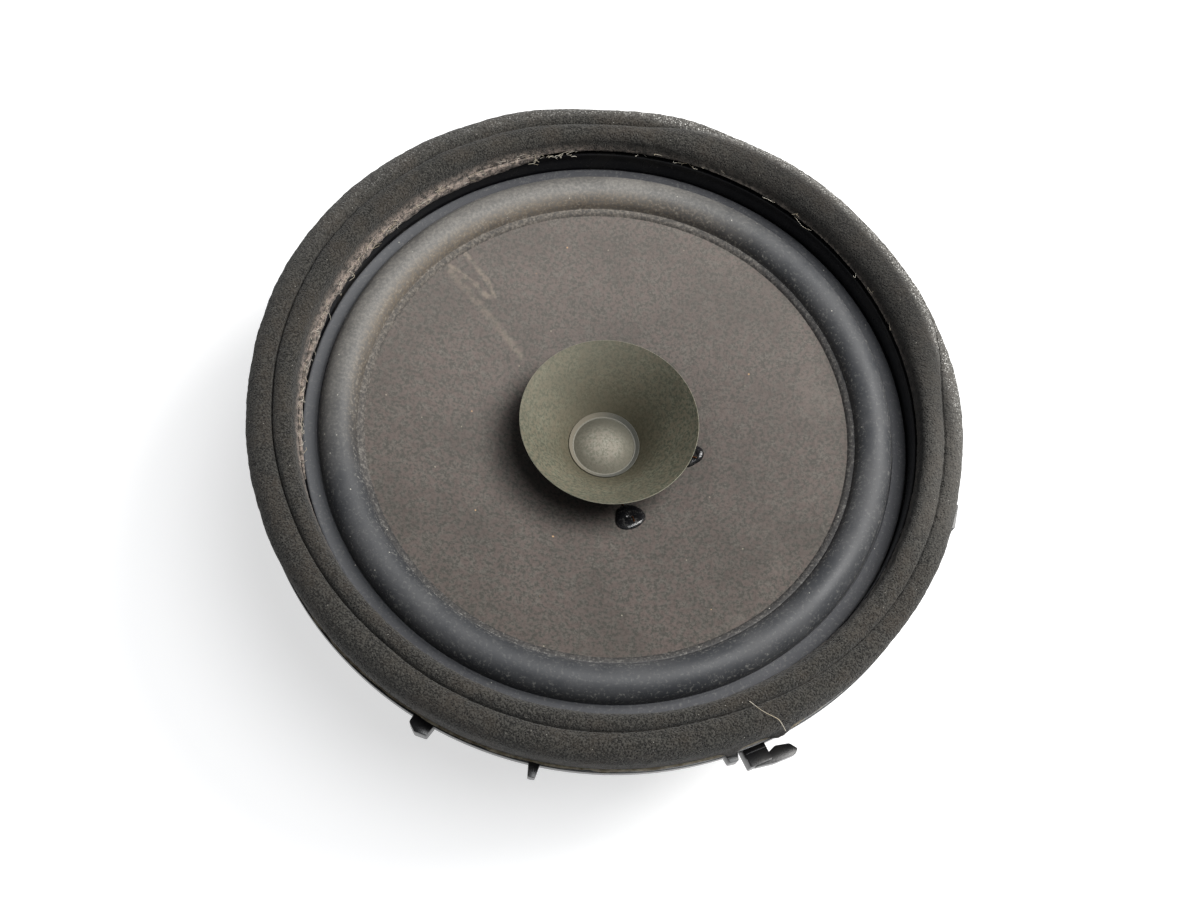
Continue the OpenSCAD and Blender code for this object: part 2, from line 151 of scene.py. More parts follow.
cap_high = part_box("dust_cap")[1]
cap_r = cap_high.x
cap_fold = cap_r - 1.2 * MM
foam_low, foam_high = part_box("foam_gasket")
foam_r = section("foam_gasket")[0].max()
board_low, board_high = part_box("terminal_board")
board_az = math.atan2(board_low.y + board_high.y, board_low.x + board_high.x)
eyelet_az = azimuths("lead_eyelets")
eyelet_r = float(section("lead_eyelets")[0].mean())


def cone_z(radius):
    """Height of the cone's front at a radius."""
    share = np.clip((radius - neck_r) / (cone_r - neck_r), 0, None)
    return neck_z + (lip_z - neck_z) * np.sqrt(share)


def whizzer_z(radius):
    """Height of the whizzer's front at a radius."""
    s = np.clip((radius - sleeve_r) / (whizzer_r - sleeve_r), 0, None)
    return throat_z + (whizzer_top - throat_z) * (0.94 * s + 0.06 * np.sqrt(s))


# ---- camera, as the view was taken

LENS = 42.0
SENSOR = 36.0
ELEVATION = math.radians(64.53)
ROLL = math.radians(12.60)
DISTANCE = 0.334
AIM_RIGHT = 0.00774  # where the seat's centre falls, as shares of the frame's width
AIM_UP = 0.02381


def new_object(name, data):
    """An object in the scene with this mesh, lamp or camera data."""
    thing = bpy.data.objects.new(name, data)
    bpy.context.scene.collection.objects.link(thing)
    return thing


def make_camera():
    """The camera looks past the seat's centre, rolled as the photograph was taken."""
    data = bpy.data.cameras.new("camera")
    data.lens = LENS
    data.sensor_width = SENSOR
    data.clip_start = 0.01
    camera = new_object("camera", data)
    back = Vector((0, -math.cos(ELEVATION), math.sin(ELEVATION)))
    right = Vector((1, 0, 0))
    level = Matrix((right, back.cross(right), back)).transposed()
    spread = SENSOR / LENS
    aim = Vector((AIM_RIGHT * spread, AIM_UP * spread, -1))
    aim = Matrix.Rotation(ROLL, 3, "Z") @ aim
    turn = aim.rotation_difference(Vector((0, 0, -1))).to_matrix()
    rotation = level @ turn @ Matrix.Rotation(ROLL, 3, "Z")
    camera.matrix_world = rotation.to_4x4()
    camera.location = Vector((0, 0, seat_z)) + back * DISTANCE
    bpy.context.scene.camera = camera


make_camera()

# ---- studio


def area_light(name, azimuth, elevation, distance, size, power, colour):
    data = bpy.data.lights.new(name, "AREA")
    data.shape = "DISK"
    data.size = size
    data.energy = power
    data.color = colour
    lamp = new_object(name, data)
    a, e = math.radians(azimuth), math.radians(elevation)
    out = Vector((math.cos(a) * math.cos(e), math.sin(a) * math.cos(e), math.sin(e)))
    lamp.location = Vector((0, 0, seat_z)) + out * distance
    lamp.rotation_euler = out.to_track_quat("Z", "Y").to_euler()


def make_sky():
    world = bpy.data.worlds.new("studio")
    bpy.context.scene.world = world
    world.use_nodes = True
    sky = world.node_tree.nodes["Background"]
    sky.inputs["Color"].default_value = (0.93, 0.96, 1.0, 1)
    sky.inputs["Strength"].default_value = 0.2


def make_floor():
    """A pale floor just under the part, with a little light of its own."""
    half = 3.0
    down = cad_box[0][2] - 0.1 * MM
    square = [(-half, -half, down), (half, -half, down), (half, half, down), (-half, half, down)]
    mesh = bpy.data.meshes.new("floor")
    mesh.from_pydata(square, [], [(0, 1, 2, 3)])
    floor = new_object("floor", mesh)
    paint = bpy.data.materials.new("floor_paper")
    paint.use_nodes = True
    shader = paint.node_tree.nodes["Principled BSDF"]
    shader.inputs["Base Color"].default_value = (0.62, 0.62, 0.62, 1)
    shader.inputs["Roughness"].default_value = 0.9
    shader.inputs["Emission Color"].default_value = (1, 1, 1, 1)
    shader.inputs["Emission Strength"].default_value = 0.6
    mesh.materials.append(paint)


make_sky()
area_light("key", 32, 53, 0.42, 0.25, 2.5, (1.0, 0.985, 0.96))
area_light("overhead", 0, 74, 1.2, 0.6, 8.0, (0.97, 0.985, 1.0))
make_floor()
bpy.context.scene.view_settings.view_transform = "Standard"

# ---- smooth noise, the same every run


def eased(t):
    """A smooth step from 0 to 1."""
    t = np.clip(t, 0, 1)
    return t * t * (3 - 2 * t)


def lattice(i, j, k, seed):
    """One fixed value from -1 to 1 for each corner of a cubic grid: an integer hash of the corner."""
    n = i * 374761393 + j * 668265263 + k * 1442695041 + seed * 974634777
    n = np.bitwise_and(n, 0xFFFFFFFF)
    n = np.bitwise_and((n ^ (n >> 13)) * 1274126177, 0xFFFFFFFF)
    n = n ^ (n >> 16)
    return np.bitwise_and(n, 0xFFFF) / 32767.5 - 1


def lumps(p, size, seed):
    """Smooth noise from -1 to 1 at points p, whose lumps are about size across."""
    q = p / size
    cell = np.floor(q).astype(np.int64)
    f = eased(q - cell)
    total = 0
    for step in product((0, 1), repeat=3):
        weight = 1
        for axis, far in enumerate(step):
            weight = weight * (f[..., axis] if far else 1 - f[..., axis])
        total = total + weight * lattice(*(cell[..., axis] + step[axis] for axis in range(3)), seed)
    return total


def humps(azimuth, *rows):
    """The sum of smooth humps along a ring. Each is its centre and width in degrees, and its height."""
    total = 0
    for centre, width, height in rows:
        away = (azimuth - centre + 180) % 360 - 180
        total = total + height * np.exp(-((away / width) ** 2))
    return total


# ---- mesh tools


def new_piece(name, points, faces, sharp):
    """A mesh object from arrays of points and of quads or triangles."""
    mesh = bpy.data.meshes.new(name)
    mesh.from_pydata(np.asarray(points, float).tolist(), [], [list(map(int, f)) for f in faces])
    mesh.update()
    return finish_mesh(name, mesh, sharp)


def finish_mesh(name, mesh, sharp):
    """An object from a mesh, smooth but for the edges that turn by more than sharp degrees."""
    mesh.polygons.foreach_set("use_smooth", [True] * len(mesh.polygons))
    mesh.set_sharp_from_angle(angle=math.radians(sharp))
    return new_object(name, mesh)


def grid_faces(rows, columns, close_rows=True, close_columns=True):
    """Quads of a grid of rows by columns that may close on itself either way."""
    i = np.arange(rows if close_rows else rows - 1)
    j = np.arange(columns if close_columns else columns - 1)
    i, j = (g.ravel() for g in np.meshgrid(i, j, indexing="ij"))
    i2, j2 = (i + 1) % rows, (j + 1) % columns
    corner = [i * columns + j, i2 * columns + j, i2 * columns + j2, i * columns + j2]
    return np.stack(corner, axis=1)


def tube_faces(rows, columns, turn=1):
    """Faces of a row of rings with a cap at each end. turn is -1 where the rings run backwards."""
    ring = list(range(columns))[::turn]
    last = (rows - 1) * columns
    return grid_faces(rows, columns, close_rows=False).tolist() + [ring, [last + k for k in ring[::-1]]]


def around(radius, azimuth, height):
    """Points at radii, azimuths in degrees and heights, which may be arrays."""
    a = np.radians(azimuth)
    return np.stack(np.broadcast_arrays(radius * np.cos(a), radius * np.sin(a), height), axis=-1)


def polar(azimuth, radius, height=0.0):
    """A point at an azimuth in degrees, with its radius and height in millimetres."""
    return Vector(around(radius, azimuth, height)) * MM


def outward(p):
    """Unit normals of a closed grid of points."""
    du = np.roll(p, -1, axis=0) - np.roll(p, 1, axis=0)
    dv = np.roll(p, -1, axis=1) - np.roll(p, 1, axis=1)
    n = np.cross(du, dv)
    return n / np.maximum(np.linalg.norm(n, axis=-1, keepdims=True), 1e-12)


def pushed(p, amount):
    """A closed grid of points moved outward by an amount in millimetres."""
    return p + outward(p) * (amount * MM)[..., None]


def raised(p, height):
    """Points moved up by a height in millimetres."""
    p = p.copy()
    p[..., 2] += height * MM
    return p


def turned(profile, sides, shape):
    """Points of an outline of (radius, height) turned about the axis. shape moves them, by azimuth."""
    a = np.linspace(0, 360, sides, endpoint=False)[:, None]
    r, z = np.asarray(profile, float).T
    p = around(r, a, z)
    return shape(p, a) if shape else p


def lathe(name, profile, sides, sharp=40, shape=None):
    """A ring with a closed outline."""
    p = turned(profile, sides, shape)
    return new_piece(name, p.reshape(-1, 3), grid_faces(*p.shape[:2]), sharp)


def disc(name, profile, sides, sharp, shape=None):
    """A solid of revolution whose outline starts and ends on the axis."""
    p = turned(profile[1:-1], sides, shape)
    rows, columns = p.shape[:2]
    faces = grid_faces(rows, columns, close_columns=False).tolist()
    low, high = rows * columns, rows * columns + 1
    for i in range(rows):
        nxt = (i + 1) % rows
        faces.append([low, nxt * columns, i * columns])
        faces.append([high, i * columns + columns - 1, nxt * columns + columns - 1])
    ends = [(0, 0, profile[0][1]), (0, 0, profile[-1][1])]
    return new_piece(name, np.vstack([p.reshape(-1, 3), ends]), faces, sharp)


def ring_outline(node):
    """Outline of a plain ring, as its CAD node has it."""
    r, z = section(node)
    return [(r.min(), z.min()), (r.max(), z.min()), (r.max(), z.max()), (r.min(), z.max())]


def rounded(outline, radius, steps=3):
    """An outline with each corner rounded by about a radius."""
    pts = [Vector(p) for p in outline]
    out = []
    for i, p in enumerate(pts):
        a, b = pts[i - 1] - p, pts[(i + 1) % len(pts)] - p
        cut = min(radius, a.length * 0.45, b.length * 0.45)
        start, end = p + a.normalized() * cut, p + b.normalized() * cut
        for s in range(steps + 1):
            t = s / steps
            out.append(tuple(start * (1 - t) ** 2 + p * 2 * t * (1 - t) + end * t * t))
    return out


def dense(outline, step):
    """A closed outline with points added so that none are more than step apart."""
    pts = np.asarray(outline, float)
    out = []
    for a, b in zip(pts, np.roll(pts, -1, axis=0)):
        n = max(1, int(math.ceil(np.linalg.norm(b - a) / step)))
        out += [a + (b - a) * k / n for k in range(n)]
    return np.array(out)


def at(azimuth, x=0.0):
    """Placement at an azimuth in radians, with X outward from a radius of x."""
    return Matrix.Rotation(azimuth, 4, "Z") @ Matrix.Translation((x, 0, 0))


UPRIGHT = Matrix(((1, 0, 0, 0), (0, 0, 1, 0), (0, 1, 0, 0), (0, 0, 0, 1)))  # swaps Y and Z


def prism(outline, low, high, place, bevel):
    """A bmesh of an outline extruded between two levels, with bevelled edges."""
    bm = bmesh.new()
    face = bm.faces.new([bm.verts.new((x, y, low)) for x, y in outline])
    made = bmesh.ops.extrude_face_region(bm, geom=[face])
    top = [v for v in made["geom"] if isinstance(v, bmesh.types.BMVert)]
    bmesh.ops.translate(bm, verts=top, vec=(0, 0, high - low))
    bmesh.ops.recalc_face_normals(bm, faces=bm.faces)
    edges = [e for e in bm.edges if len(e.link_faces) == 2 and e.calc_face_angle() > 0.5]
    bmesh.ops.bevel(
        bm, geom=edges, offset=bevel, segments=2, profile=0.6, affect="EDGES", clamp_overlap=True
    )
    bmesh.ops.transform(bm, matrix=place, verts=bm.verts)
    bmesh.ops.recalc_face_normals(bm, faces=bm.faces)
    return bm


def join(name, parts, sharp=35):
    """One piece from several bmeshes and mesh objects."""
    whole = bmesh.new()
    for part in parts:
        if isinstance(part, bmesh.types.BMesh):
            spare = bpy.data.meshes.new("spare")
            part.to_mesh(spare)
            part.free()
        else:
            spare = part.data
            bpy.data.objects.remove(part)
        whole.from_mesh(spare)
        bpy.data.meshes.remove(spare)
    mesh = bpy.data.meshes.new(name)
    whole.to_mesh(mesh)
    whole.free()
    return finish_mesh(name, mesh, sharp)


def sweep(name, path, radius, sides, swell=None):
    """A closed tube along a path. swell(i, k) scales its radius at ring i, side k."""
    points = []
    side = None
    for i, c in enumerate(path):
        t = (path[min(i + 1, len(path) - 1)] - path[max(i - 1, 0)]).normalized()
        if side is None:
            side = t.orthogonal().normalized()
        side = (side - t * side.dot(t)).normalized()
        other = t.cross(side)
        for k in range(sides):
            a = 2 * math.pi * k / sides
            size = radius * (swell(i, k) if swell else 1)
            points.append(c + (side * math.cos(a) + other * math.sin(a)) * size)
    return new_piece(name, points, tube_faces(len(path), sides), 60)


# ---- material tools


class Paint:
    """A material under construction, whose colour is laid on in coats. Sizes are in metres."""

    def __init__(self, name, colour):
        self.material = bpy.data.materials.new(name)
        self.material.use_nodes = True
        self.tree = self.material.node_tree
        self.shader = self.tree.nodes["Principled BSDF"]
        self.place = self.add("ShaderNodeTexCoord").outputs["Object"]
        self.colour = colour

    def add(self, kind, **settings):
        node = self.tree.nodes.new(kind)
        for key, value in settings.items():
            setattr(node, key, value)
        return node

    def put(self, socket, value):
        """Links a socket to another, or sets its value."""
        if isinstance(value, bpy.types.NodeSocket):
            self.tree.links.new(value, socket)
        elif isinstance(value, (tuple, list)) and len(value) == 3 and socket.type == "RGBA":
            socket.default_value = (*value, 1)
        else:
            socket.default_value = value

    def noise(self, size, detail=3.0, rough=0.55):
        node = self.add("ShaderNodeTexNoise")
        self.put(node.inputs["Vector"], self.place)
        self.put(node.inputs["Scale"], 1 / size)
        self.put(node.inputs["Detail"], detail)
        self.put(node.inputs["Roughness"], rough)
        return node.outputs["Fac"]

    def cells(self, size, output="Distance"):
        node = self.add("ShaderNodeTexVoronoi")
        self.put(node.inputs["Vector"], self.place)
        self.put(node.inputs["Scale"], 1 / size)
        return node.outputs[output]

    def ramp(self, value, low, high, a=0.0, b=1.0, kind="SMOOTHSTEP"):
        """Goes from a to b while the value goes from low to high, which may be the larger."""
        node = self.add("ShaderNodeMapRange", interpolation_type=kind)
        for key, v in zip(("Value", "From Min", "From Max", "To Min", "To Max"), (value, low, high, a, b)):
            self.put(node.inputs[key], v)
        return node.outputs["Result"]

    def math(self, operation, a, b=0.0):
        node = self.add("ShaderNodeMath", operation=operation)
        self.put(node.inputs[0], a)
        self.put(node.inputs[1], b)
        return node.outputs[0]

    def times(self, first, *others):
        for other in others:
            first = self.math("MULTIPLY", first, other)
        return first

    def minus(self, a, b):
        return self.math("SUBTRACT", a, b)

    def most(self, a, b):
        return self.math("MAXIMUM", a, b)

    def vector(self, operation, a, b):
        node = self.add("ShaderNodeVectorMath", operation=operation)
        self.put(node.inputs[0], a)
        self.put(node.inputs["Scale" if operation == "SCALE" else 1], b)
        return node.outputs["Value" if operation in ("DOT_PRODUCT", "DISTANCE") else "Vector"]

    def mix(self, share, a, b):
        node = self.add("ShaderNodeMix", data_type="RGBA")
        self.put(node.inputs["Factor"], share)
        self.put(node.inputs["A"], a)
        self.put(node.inputs["B"], b)
        return node.outputs["Result"]

    def coat(self, share, colour):
        """Lays a colour over the colour so far."""
        self.colour = self.mix(share, self.colour, colour)

    def xyz(self):
        node = self.add("ShaderNodeSeparateXYZ")
        self.put(node.inputs[0], self.place)
        return node.outputs

    def radius(self):
        """Distance from the axis."""
        x, y, _ = self.xyz()
        return self.math("SQRT", self.math("ADD", self.times(x, x), self.times(y, y)))

    def along(self, x, y):
        """Distance from the axis in a direction seen from above."""
        return self.vector("DOT_PRODUCT", self.place, (x, y, 0))

    def specks(self, spacing, radius, share):
        """Scattered round spots: about this share of the cells of a grid holds one."""
        seen = self.ramp(self.cells(spacing), 0.75 * radius / spacing, radius / spacing, 1.0, 0.0)
        split = self.add("ShaderNodeSeparateColor")
        self.put(split.inputs[0], self.cells(spacing, "Color"))
        return self.times(seen, self.ramp(split.outputs["Red"], 1 - share, 1 - share + 0.001))

    def dot(self, spacing, radius, share, strength, colour):
        """Lays scattered spots of a colour."""
        self.coat(self.times(self.specks(spacing, radius, share), strength), colour)

    def stroke(self, route, width, soft):
        """1 along a line through places seen from above, (degrees, mm), fading over its soft edge."""
        points = [polar(*place) for place in route]
        flat = self.vector("MULTIPLY", self.place, (1, 1, 0))
        wobble = self.times(self.minus(self.noise(1.6 * MM), 0.5), 1.2 * MM)
        near = 1.0
        for a, b in zip(points, points[1:]):
            run = b - a
            share = self.vector("DOT_PRODUCT", self.vector("SUBTRACT", flat, a), run / run.length_squared)
            step = self.vector("SCALE", run, self.ramp(share, 0, 1, kind="LINEAR"))
            away = self.vector("DISTANCE", flat, self.vector("ADD", step, a))
            near = self.math("MINIMUM", away, near)
        return self.ramp(self.math("ADD", near, wobble), width / 2, width / 2 + soft, 1.0, 0.0)

    def bumps(self, height, depth, strength, under=None):
        node = self.add("ShaderNodeBump")
        self.put(node.inputs["Height"], height)
        self.put(node.inputs["Distance"], depth)
        self.put(node.inputs["Strength"], strength)
        if under:
            self.put(node.inputs["Normal"], under)
        return node.outputs["Normal"]

    def done(self, rough, normal=None, **sockets):
        """The finished material. Other sockets go by name, with _ for a space."""
        sockets.update(Base_Color=self.colour, Roughness=rough)
        if normal:
            sockets["Normal"] = normal
        for key, value in sockets.items():
            self.put(self.shader.inputs[key.replace("_", " ")], value)
        return self.material


# ---- materials


def foam_material():
    """Dark open-cell foam, dusty along its inner lip, with painted light at the right, painted shade inside
    at the far right, and a painted sheen and painted glints on its far outer edge.
    """
    p = Paint("open_cell_foam", (0.011, 0.0105, 0.0095))
    pores = p.cells(0.6 * MM)
    grit = p.noise(0.42 * MM, 4.0, 0.65)
    x, y, z = p.xyz()
    radius = p.radius()
    p.coat(p.ramp(grit, 0.4, 0.62), (0.058, 0.0555, 0.049))
    patch = p.ramp(p.noise(7 * MM), 0.38, 0.7, 0.0, 0.6)
    p.coat(patch, p.mix(0.5, p.colour, (0.056, 0.044, 0.033)))
    p.coat(p.ramp(pores, 0.1, 0.4, 0.75, 0.0), (0.009, 0.008, 0.007))
    # Painted light at the right, and painted shade inside at the far right
    painted_light_right = p.times(p.ramp(x, 62 * MM, 80 * MM, 0.0, 0.16), p.ramp(y, -30 * MM, -5 * MM))
    p.coat(painted_light_right, (0.19, 0.183, 0.17))
    deep = p.ramp(radius, foam_r - 2.5 * MM, foam_r - 5 * MM, 0.0, 0.45)
    deep = p.times(p.ramp(p.along(0.7, 0.7), 55 * MM, 72 * MM), deep)
    p.coat(deep, (0.009, 0.0085, 0.008))
    # Painted highlight on the far outer edge: a pale painted sheen and painted glints
    far = p.times(
        p.ramp(radius, foam_r - 5.5 * MM, foam_r - 2 * MM),
        p.ramp(y, -20 * MM, 50 * MM),
        p.ramp(z, foam_high.z - 7 * MM, foam_high.z - 3 * MM, 0.1, 1.0),
        p.ramp(x, -60 * MM, 30 * MM, 0.4, 1.0),
    )
    cloud = p.ramp(p.noise(0.9 * MM, 3.0, 0.7), 0.4, 0.65, 0.3, 1.0)
    p.coat(p.times(cloud, far, p.ramp(y, 50 * MM, 80 * MM, 0.34, 0.55)), (0.24, 0.23, 0.215))
    glint = p.most(p.specks(0.62 * MM, 0.2 * MM, 0.4), p.specks(0.37 * MM, 0.14 * MM, 0.35))
    p.coat(p.times(glint, p.ramp(far, 0.1, 1.0, 0.0, 0.85)), (0.62, 0.61, 0.58))
    p.dot(1.7 * MM, 0.13 * MM, 0.3, 0.6, (0.4, 0.38, 0.34))
    # Dust gathers on the inner lip, most of all towards the far left
    dust = p.times(
        p.ramp(radius, wall_out + 1.6 * MM, wall_out - 0.4 * MM),
        p.ramp(z, wall_top + 4.5 * MM, wall_top + 1.2 * MM),
        p.ramp(p.along(-0.94, 0.34), 20 * MM, 60 * MM, 0.22, 0.95),
        p.ramp(p.noise(1.3 * MM, 4.0, 0.75), 0.4, 0.6, 0.12, 1.0),
    )
    p.coat(dust, (0.3, 0.245, 0.21))
    normal = p.bumps(p.ramp(pores, 0.0, 0.5), 0.3 * MM, 0.8, p.bumps(grit, 0.3 * MM, 0.8))
    return p.done(0.95, normal, Specular_IOR_Level=0.12, Sheen_Weight=0.1, Sheen_Roughness=0.6)


def plastic_material():
    p = Paint("moulded_black_plastic", (0.004, 0.004, 0.005))
    smear = p.noise(14 * MM)
    p.coat(p.ramp(smear, 0.4, 0.7), (0.009, 0.0085, 0.008))
    p.coat(p.ramp(p.noise(0.9 * MM, 4.0, 0.7), 0.6, 0.72, 0.0, 0.25), (0.09, 0.085, 0.075))
    rough = p.ramp(smear, 0.3, 0.75, 0.2, 0.32)
    return p.done(rough, p.bumps(p.noise(0.35 * MM), 0.03 * MM, 0.35), Specular_IOR_Level=0.42)


def rubber_material():
    """Grey-black rubber: a dull flat rim with painted light at its left and painted shade at its far side,
    a smooth roll, and dust along both sides of the roll.
    """
    p = Paint("surround_rubber", (0.03, 0.032, 0.036))
    x, y, _ = p.xyz()
    radius = p.radius()
    land = roll_mid + roll_r
    haze = p.noise(11 * MM, 4.0, 0.6)
    fine = p.noise(0.75 * MM, 4.0, 0.75)
    p.coat(p.ramp(haze, 0.35, 0.7), (0.052, 0.053, 0.056))
    rim = p.ramp(radius, land - 0.1 * MM, land + 0.3 * MM)
    # The flat rim: painted light makes it paler at the left, and painted shade makes it darker at the far
    # side
    flat = p.mix(haze, (0.034, 0.036, 0.041), (0.062, 0.063, 0.069))
    flat = p.mix(p.ramp(x, -30 * MM, -70 * MM, 0.0, 0.6), flat, (0.125, 0.128, 0.135))
    flat = p.mix(p.ramp(y, 20 * MM, 70 * MM, 0.0, 0.45), flat, (0.018, 0.019, 0.023))
    p.coat(rim, flat)
    # Pale film and brown grime at the far left of the roll
    film = p.ramp(p.along(-0.7, 0.7), 12 * MM, 55 * MM)
    pale = p.times(film, p.ramp(haze, 0.2, 0.6, 0.45, 0.8), p.ramp(fine, 0.38, 0.62, 0.7, 1.25), 0.62)
    p.coat(p.times(pale, p.minus(1.0, rim)), (0.24, 0.225, 0.2))
    inside = p.ramp(radius, roll_mid - 0.6 * MM, lip_r + 1.4 * MM)
    p.coat(p.times(film, inside, p.ramp(fine, 0.42, 0.6, 0.15, 0.75)), (0.15, 0.105, 0.06))
    # The lip is pulpy, and dusty at the far left
    lip = p.ramp(radius, lip_r + 1.7 * MM, lip_r + 0.9 * MM)
    grain = p.ramp(fine, 0.4, 0.6)
    pulp = p.mix(grain, (0.018, 0.017, 0.016), (0.05, 0.045, 0.041))
    dusty = p.mix(grain, (0.04, 0.037, 0.034), (0.11, 0.098, 0.086))
    p.coat(p.times(lip, 0.8), p.mix(p.ramp(film, -0.01, 0.03), pulp, dusty))
    # Dust flecks, most of them down both sides of the roll
    sides = p.times(
        p.ramp(p.math("ABSOLUTE", p.minus(radius, roll_mid)), 1.6 * MM, roll_r),
        p.minus(1.0, p.times(rim, 0.8)),
        p.ramp(radius, lip_r + 0.7 * MM, lip_r + 1.6 * MM, 0.35, 1.0),
    )
    p.coat(p.times(p.ramp(fine, 0.54, 0.64), p.ramp(sides, 0, 1, 0.12, 0.5)), (0.3, 0.295, 0.27))
    p.dot(2.4 * MM, 0.16 * MM, 0.35, 0.8, (0.5, 0.48, 0.42))
    rough = p.most(p.ramp(haze, 0.3, 0.7, 0.55, 0.7), p.times(p.most(rim, lip), 0.8))
    return p.done(rough, p.bumps(p.noise(0.4 * MM), 0.05 * MM, 0.5), Specular_IOR_Level=0.5)


def paper(name, dark, light, red):
    """Pressed paper pulp: cloudy and fibrous, with fibres of two tints. Gives its paint and its pulp."""
    p = Paint(name, dark)
    pulp = p.noise(0.75 * MM, 4.0, 0.75)
    p.coat(p.ramp(pulp, 0.4, 0.62), light)
    p.coat(p.ramp(p.noise(1.5 * MM, 3.0, 0.7), 0.42, 0.6, 0.0, 0.6), red)
    p.coat(p.ramp(p.noise(16 * MM, 4.0, 0.6), 0.35, 0.7, 0.0, 0.35), tuple(0.72 * c for c in dark))
    return p, pulp


def cone_material():
    p, pulp = paper("cone_paper", (0.056, 0.053, 0.046), (0.124, 0.113, 0.1), (0.105, 0.077, 0.07))
    x, y, _ = p.xyz()
    # Painted light: paler towards the far side
    p.coat(p.ramp(y, -55 * MM, 50 * MM, 0.0, 0.13), (0.33, 0.3, 0.28))
    scuff = p.ramp(p.noise(26 * MM, 6.0, 0.78), 0.52, 0.66, 0.0, 0.2)
    p.coat(p.times(scuff, p.ramp(x, 0.0, 40 * MM)), (0.2, 0.175, 0.155))
    # Painted shade: darker towards the near side
    p.coat(p.ramp(y, 30 * MM, -55 * MM, 0.0, 0.14), (0.03, 0.028, 0.026))
    # A dried drip at the far left: a narrow loop from the lip, and a faint tail towards the middle
    loop = [(145.5, 57.5), (143.2, 50), (142.6, 45.6), (140.8, 45.2), (139.6, 48.5), (140.2, 57.5)]
    tail = [(146.2, 56), (146.4, 46), (146.8, 36), (147.5, 30)]
    marks = p.most(
        p.times(p.stroke(loop, 0.3 * MM, 0.8 * MM), 0.42),
        p.times(p.stroke(tail, 0.2 * MM, 1.5 * MM), 0.26),
    )
    broken = p.ramp(p.noise(2.2 * MM, 4.0, 0.7), 0.36, 0.6, 0.1, 1.0)
    p.coat(p.times(marks, broken), (0.3, 0.25, 0.2))
    p.dot(6.5 * MM, 0.3 * MM, 0.2, 0.75, (0.46, 0.3, 0.17))
    p.dot(3.1 * MM, 0.2 * MM, 0.22, 0.6, (0.34, 0.31, 0.24))
    return p.done(0.88, p.bumps(pulp, 0.1 * MM, 0.7), Specular_IOR_Level=0.2)


def whizzer_material():
    p, pulp = paper("whizzer_paper", (0.072, 0.075, 0.053), (0.172, 0.168, 0.122), (0.138, 0.114, 0.08))
    _, y, _ = p.xyz()
    radius = p.radius()
    # Painted shade: darker down in the throat
    p.coat(p.ramp(radius, sleeve_r + 0.5 * MM, sleeve_r + 8.5 * MM, 0.66, 0.0), (0.052, 0.044, 0.026))
    # Painted light: paler towards the far left
    p.coat(p.ramp(p.along(-0.6, 0.8), 0.0, whizzer_r, 0.0, 0.3), (0.24, 0.225, 0.18))
    shaded = p.times(p.ramp(y, -2 * MM, 12 * MM), p.ramp(radius, whizzer_r, sleeve_r + 4 * MM), 0.45)
    p.coat(shaded, (0.05, 0.046, 0.03))
    edge = p.ramp(radius, whizzer_r - 0.05 * MM, whizzer_r + 0.1 * MM, 0.0, 0.5)
    p.coat(edge, (0.36, 0.35, 0.28))
    p.dot(7 * MM, 0.3 * MM, 0.12, 0.7, (0.5, 0.34, 0.2))
    return p.done(0.85, p.bumps(pulp, 0.06 * MM, 0.6), Specular_IOR_Level=0.2)


def cap_material():
    p, pulp = paper("cap_paper", (0.15, 0.145, 0.115), (0.29, 0.28, 0.235), (0.23, 0.2, 0.165))
    x, y, _ = p.xyz()
    radius = p.radius()
    # Painted shade darkens the dome towards its fold, leaving a painted highlight in its middle
    p.coat(p.ramp(radius, 0.2 * cap_fold, 0.95 * cap_fold, 0.0, 0.8), (0.082, 0.077, 0.058))
    # Painted shadow from the horn darkens the dome's far side
    p.coat(p.ramp(y, -0.2 * cap_fold, 0.9 * cap_fold, 0.0, 0.7), (0.05, 0.049, 0.038))
    brown = p.ramp(x, -0.8 * cap_fold, 0.5 * cap_fold, 1.0, 0.0)
    rim = p.mix(brown, (0.1, 0.1, 0.088), (0.15, 0.135, 0.105))
    p.coat(p.ramp(radius, cap_fold + 0.05 * MM, cap_fold + 0.25 * MM), rim)
    off_line = p.math("ABSOLUTE", p.minus(radius, cap_fold + 0.05 * MM))
    p.coat(p.ramp(off_line, 0.08 * MM, 0.22 * MM, 0.4, 0.0), (0.28, 0.27, 0.235))
    return p.done(0.82, p.bumps(pulp, 0.08 * MM, 0.7), Specular_IOR_Level=0.25)


def glue_material():
    p = Paint("black_glue", (0.007, 0.007, 0.008))
    dust = p.ramp(p.noise(1.6 * MM, 4.0, 0.7), 0.5, 0.68, 0.0, 0.4)
    p.coat(dust, (0.09, 0.087, 0.082))
    rough = p.math("ADD", 0.22, p.times(dust, 0.5))
    return p.done(rough, p.bumps(p.noise(1.8 * MM, 3.0, 0.6), 0.35 * MM, 0.7), Specular_IOR_Level=0.5)


def metal(name, dark, light, rough=(0.3, 0.5), grain=1.2 * MM, rust=0.0):
    """Plated or bare metal with faint blotches, fine scratches and, if asked, spots of rust."""
    p = Paint(name, dark)
    blotch = p.noise(6 * MM, 4.0, 0.65)
    p.coat(p.ramp(blotch, 0.3, 0.7), light)
    shine = p.ramp(blotch, 0.3, 0.7, *rough)
    metallic = 1.0
    if rust:
        spots = p.ramp(p.noise(2.4 * MM, 5.0, 0.75), 0.62, 0.7, 0.0, rust)
        p.coat(spots, (0.16, 0.055, 0.02))
        shine = p.math("ADD", shine, p.times(spots, 0.35))
        metallic = p.ramp(spots, 0.0, 1.0, 1.0, 0.1)
    return p.done(shine, p.bumps(p.noise(grain, 4.0, 0.7), 0.03 * MM, 0.4), Metallic=metallic)


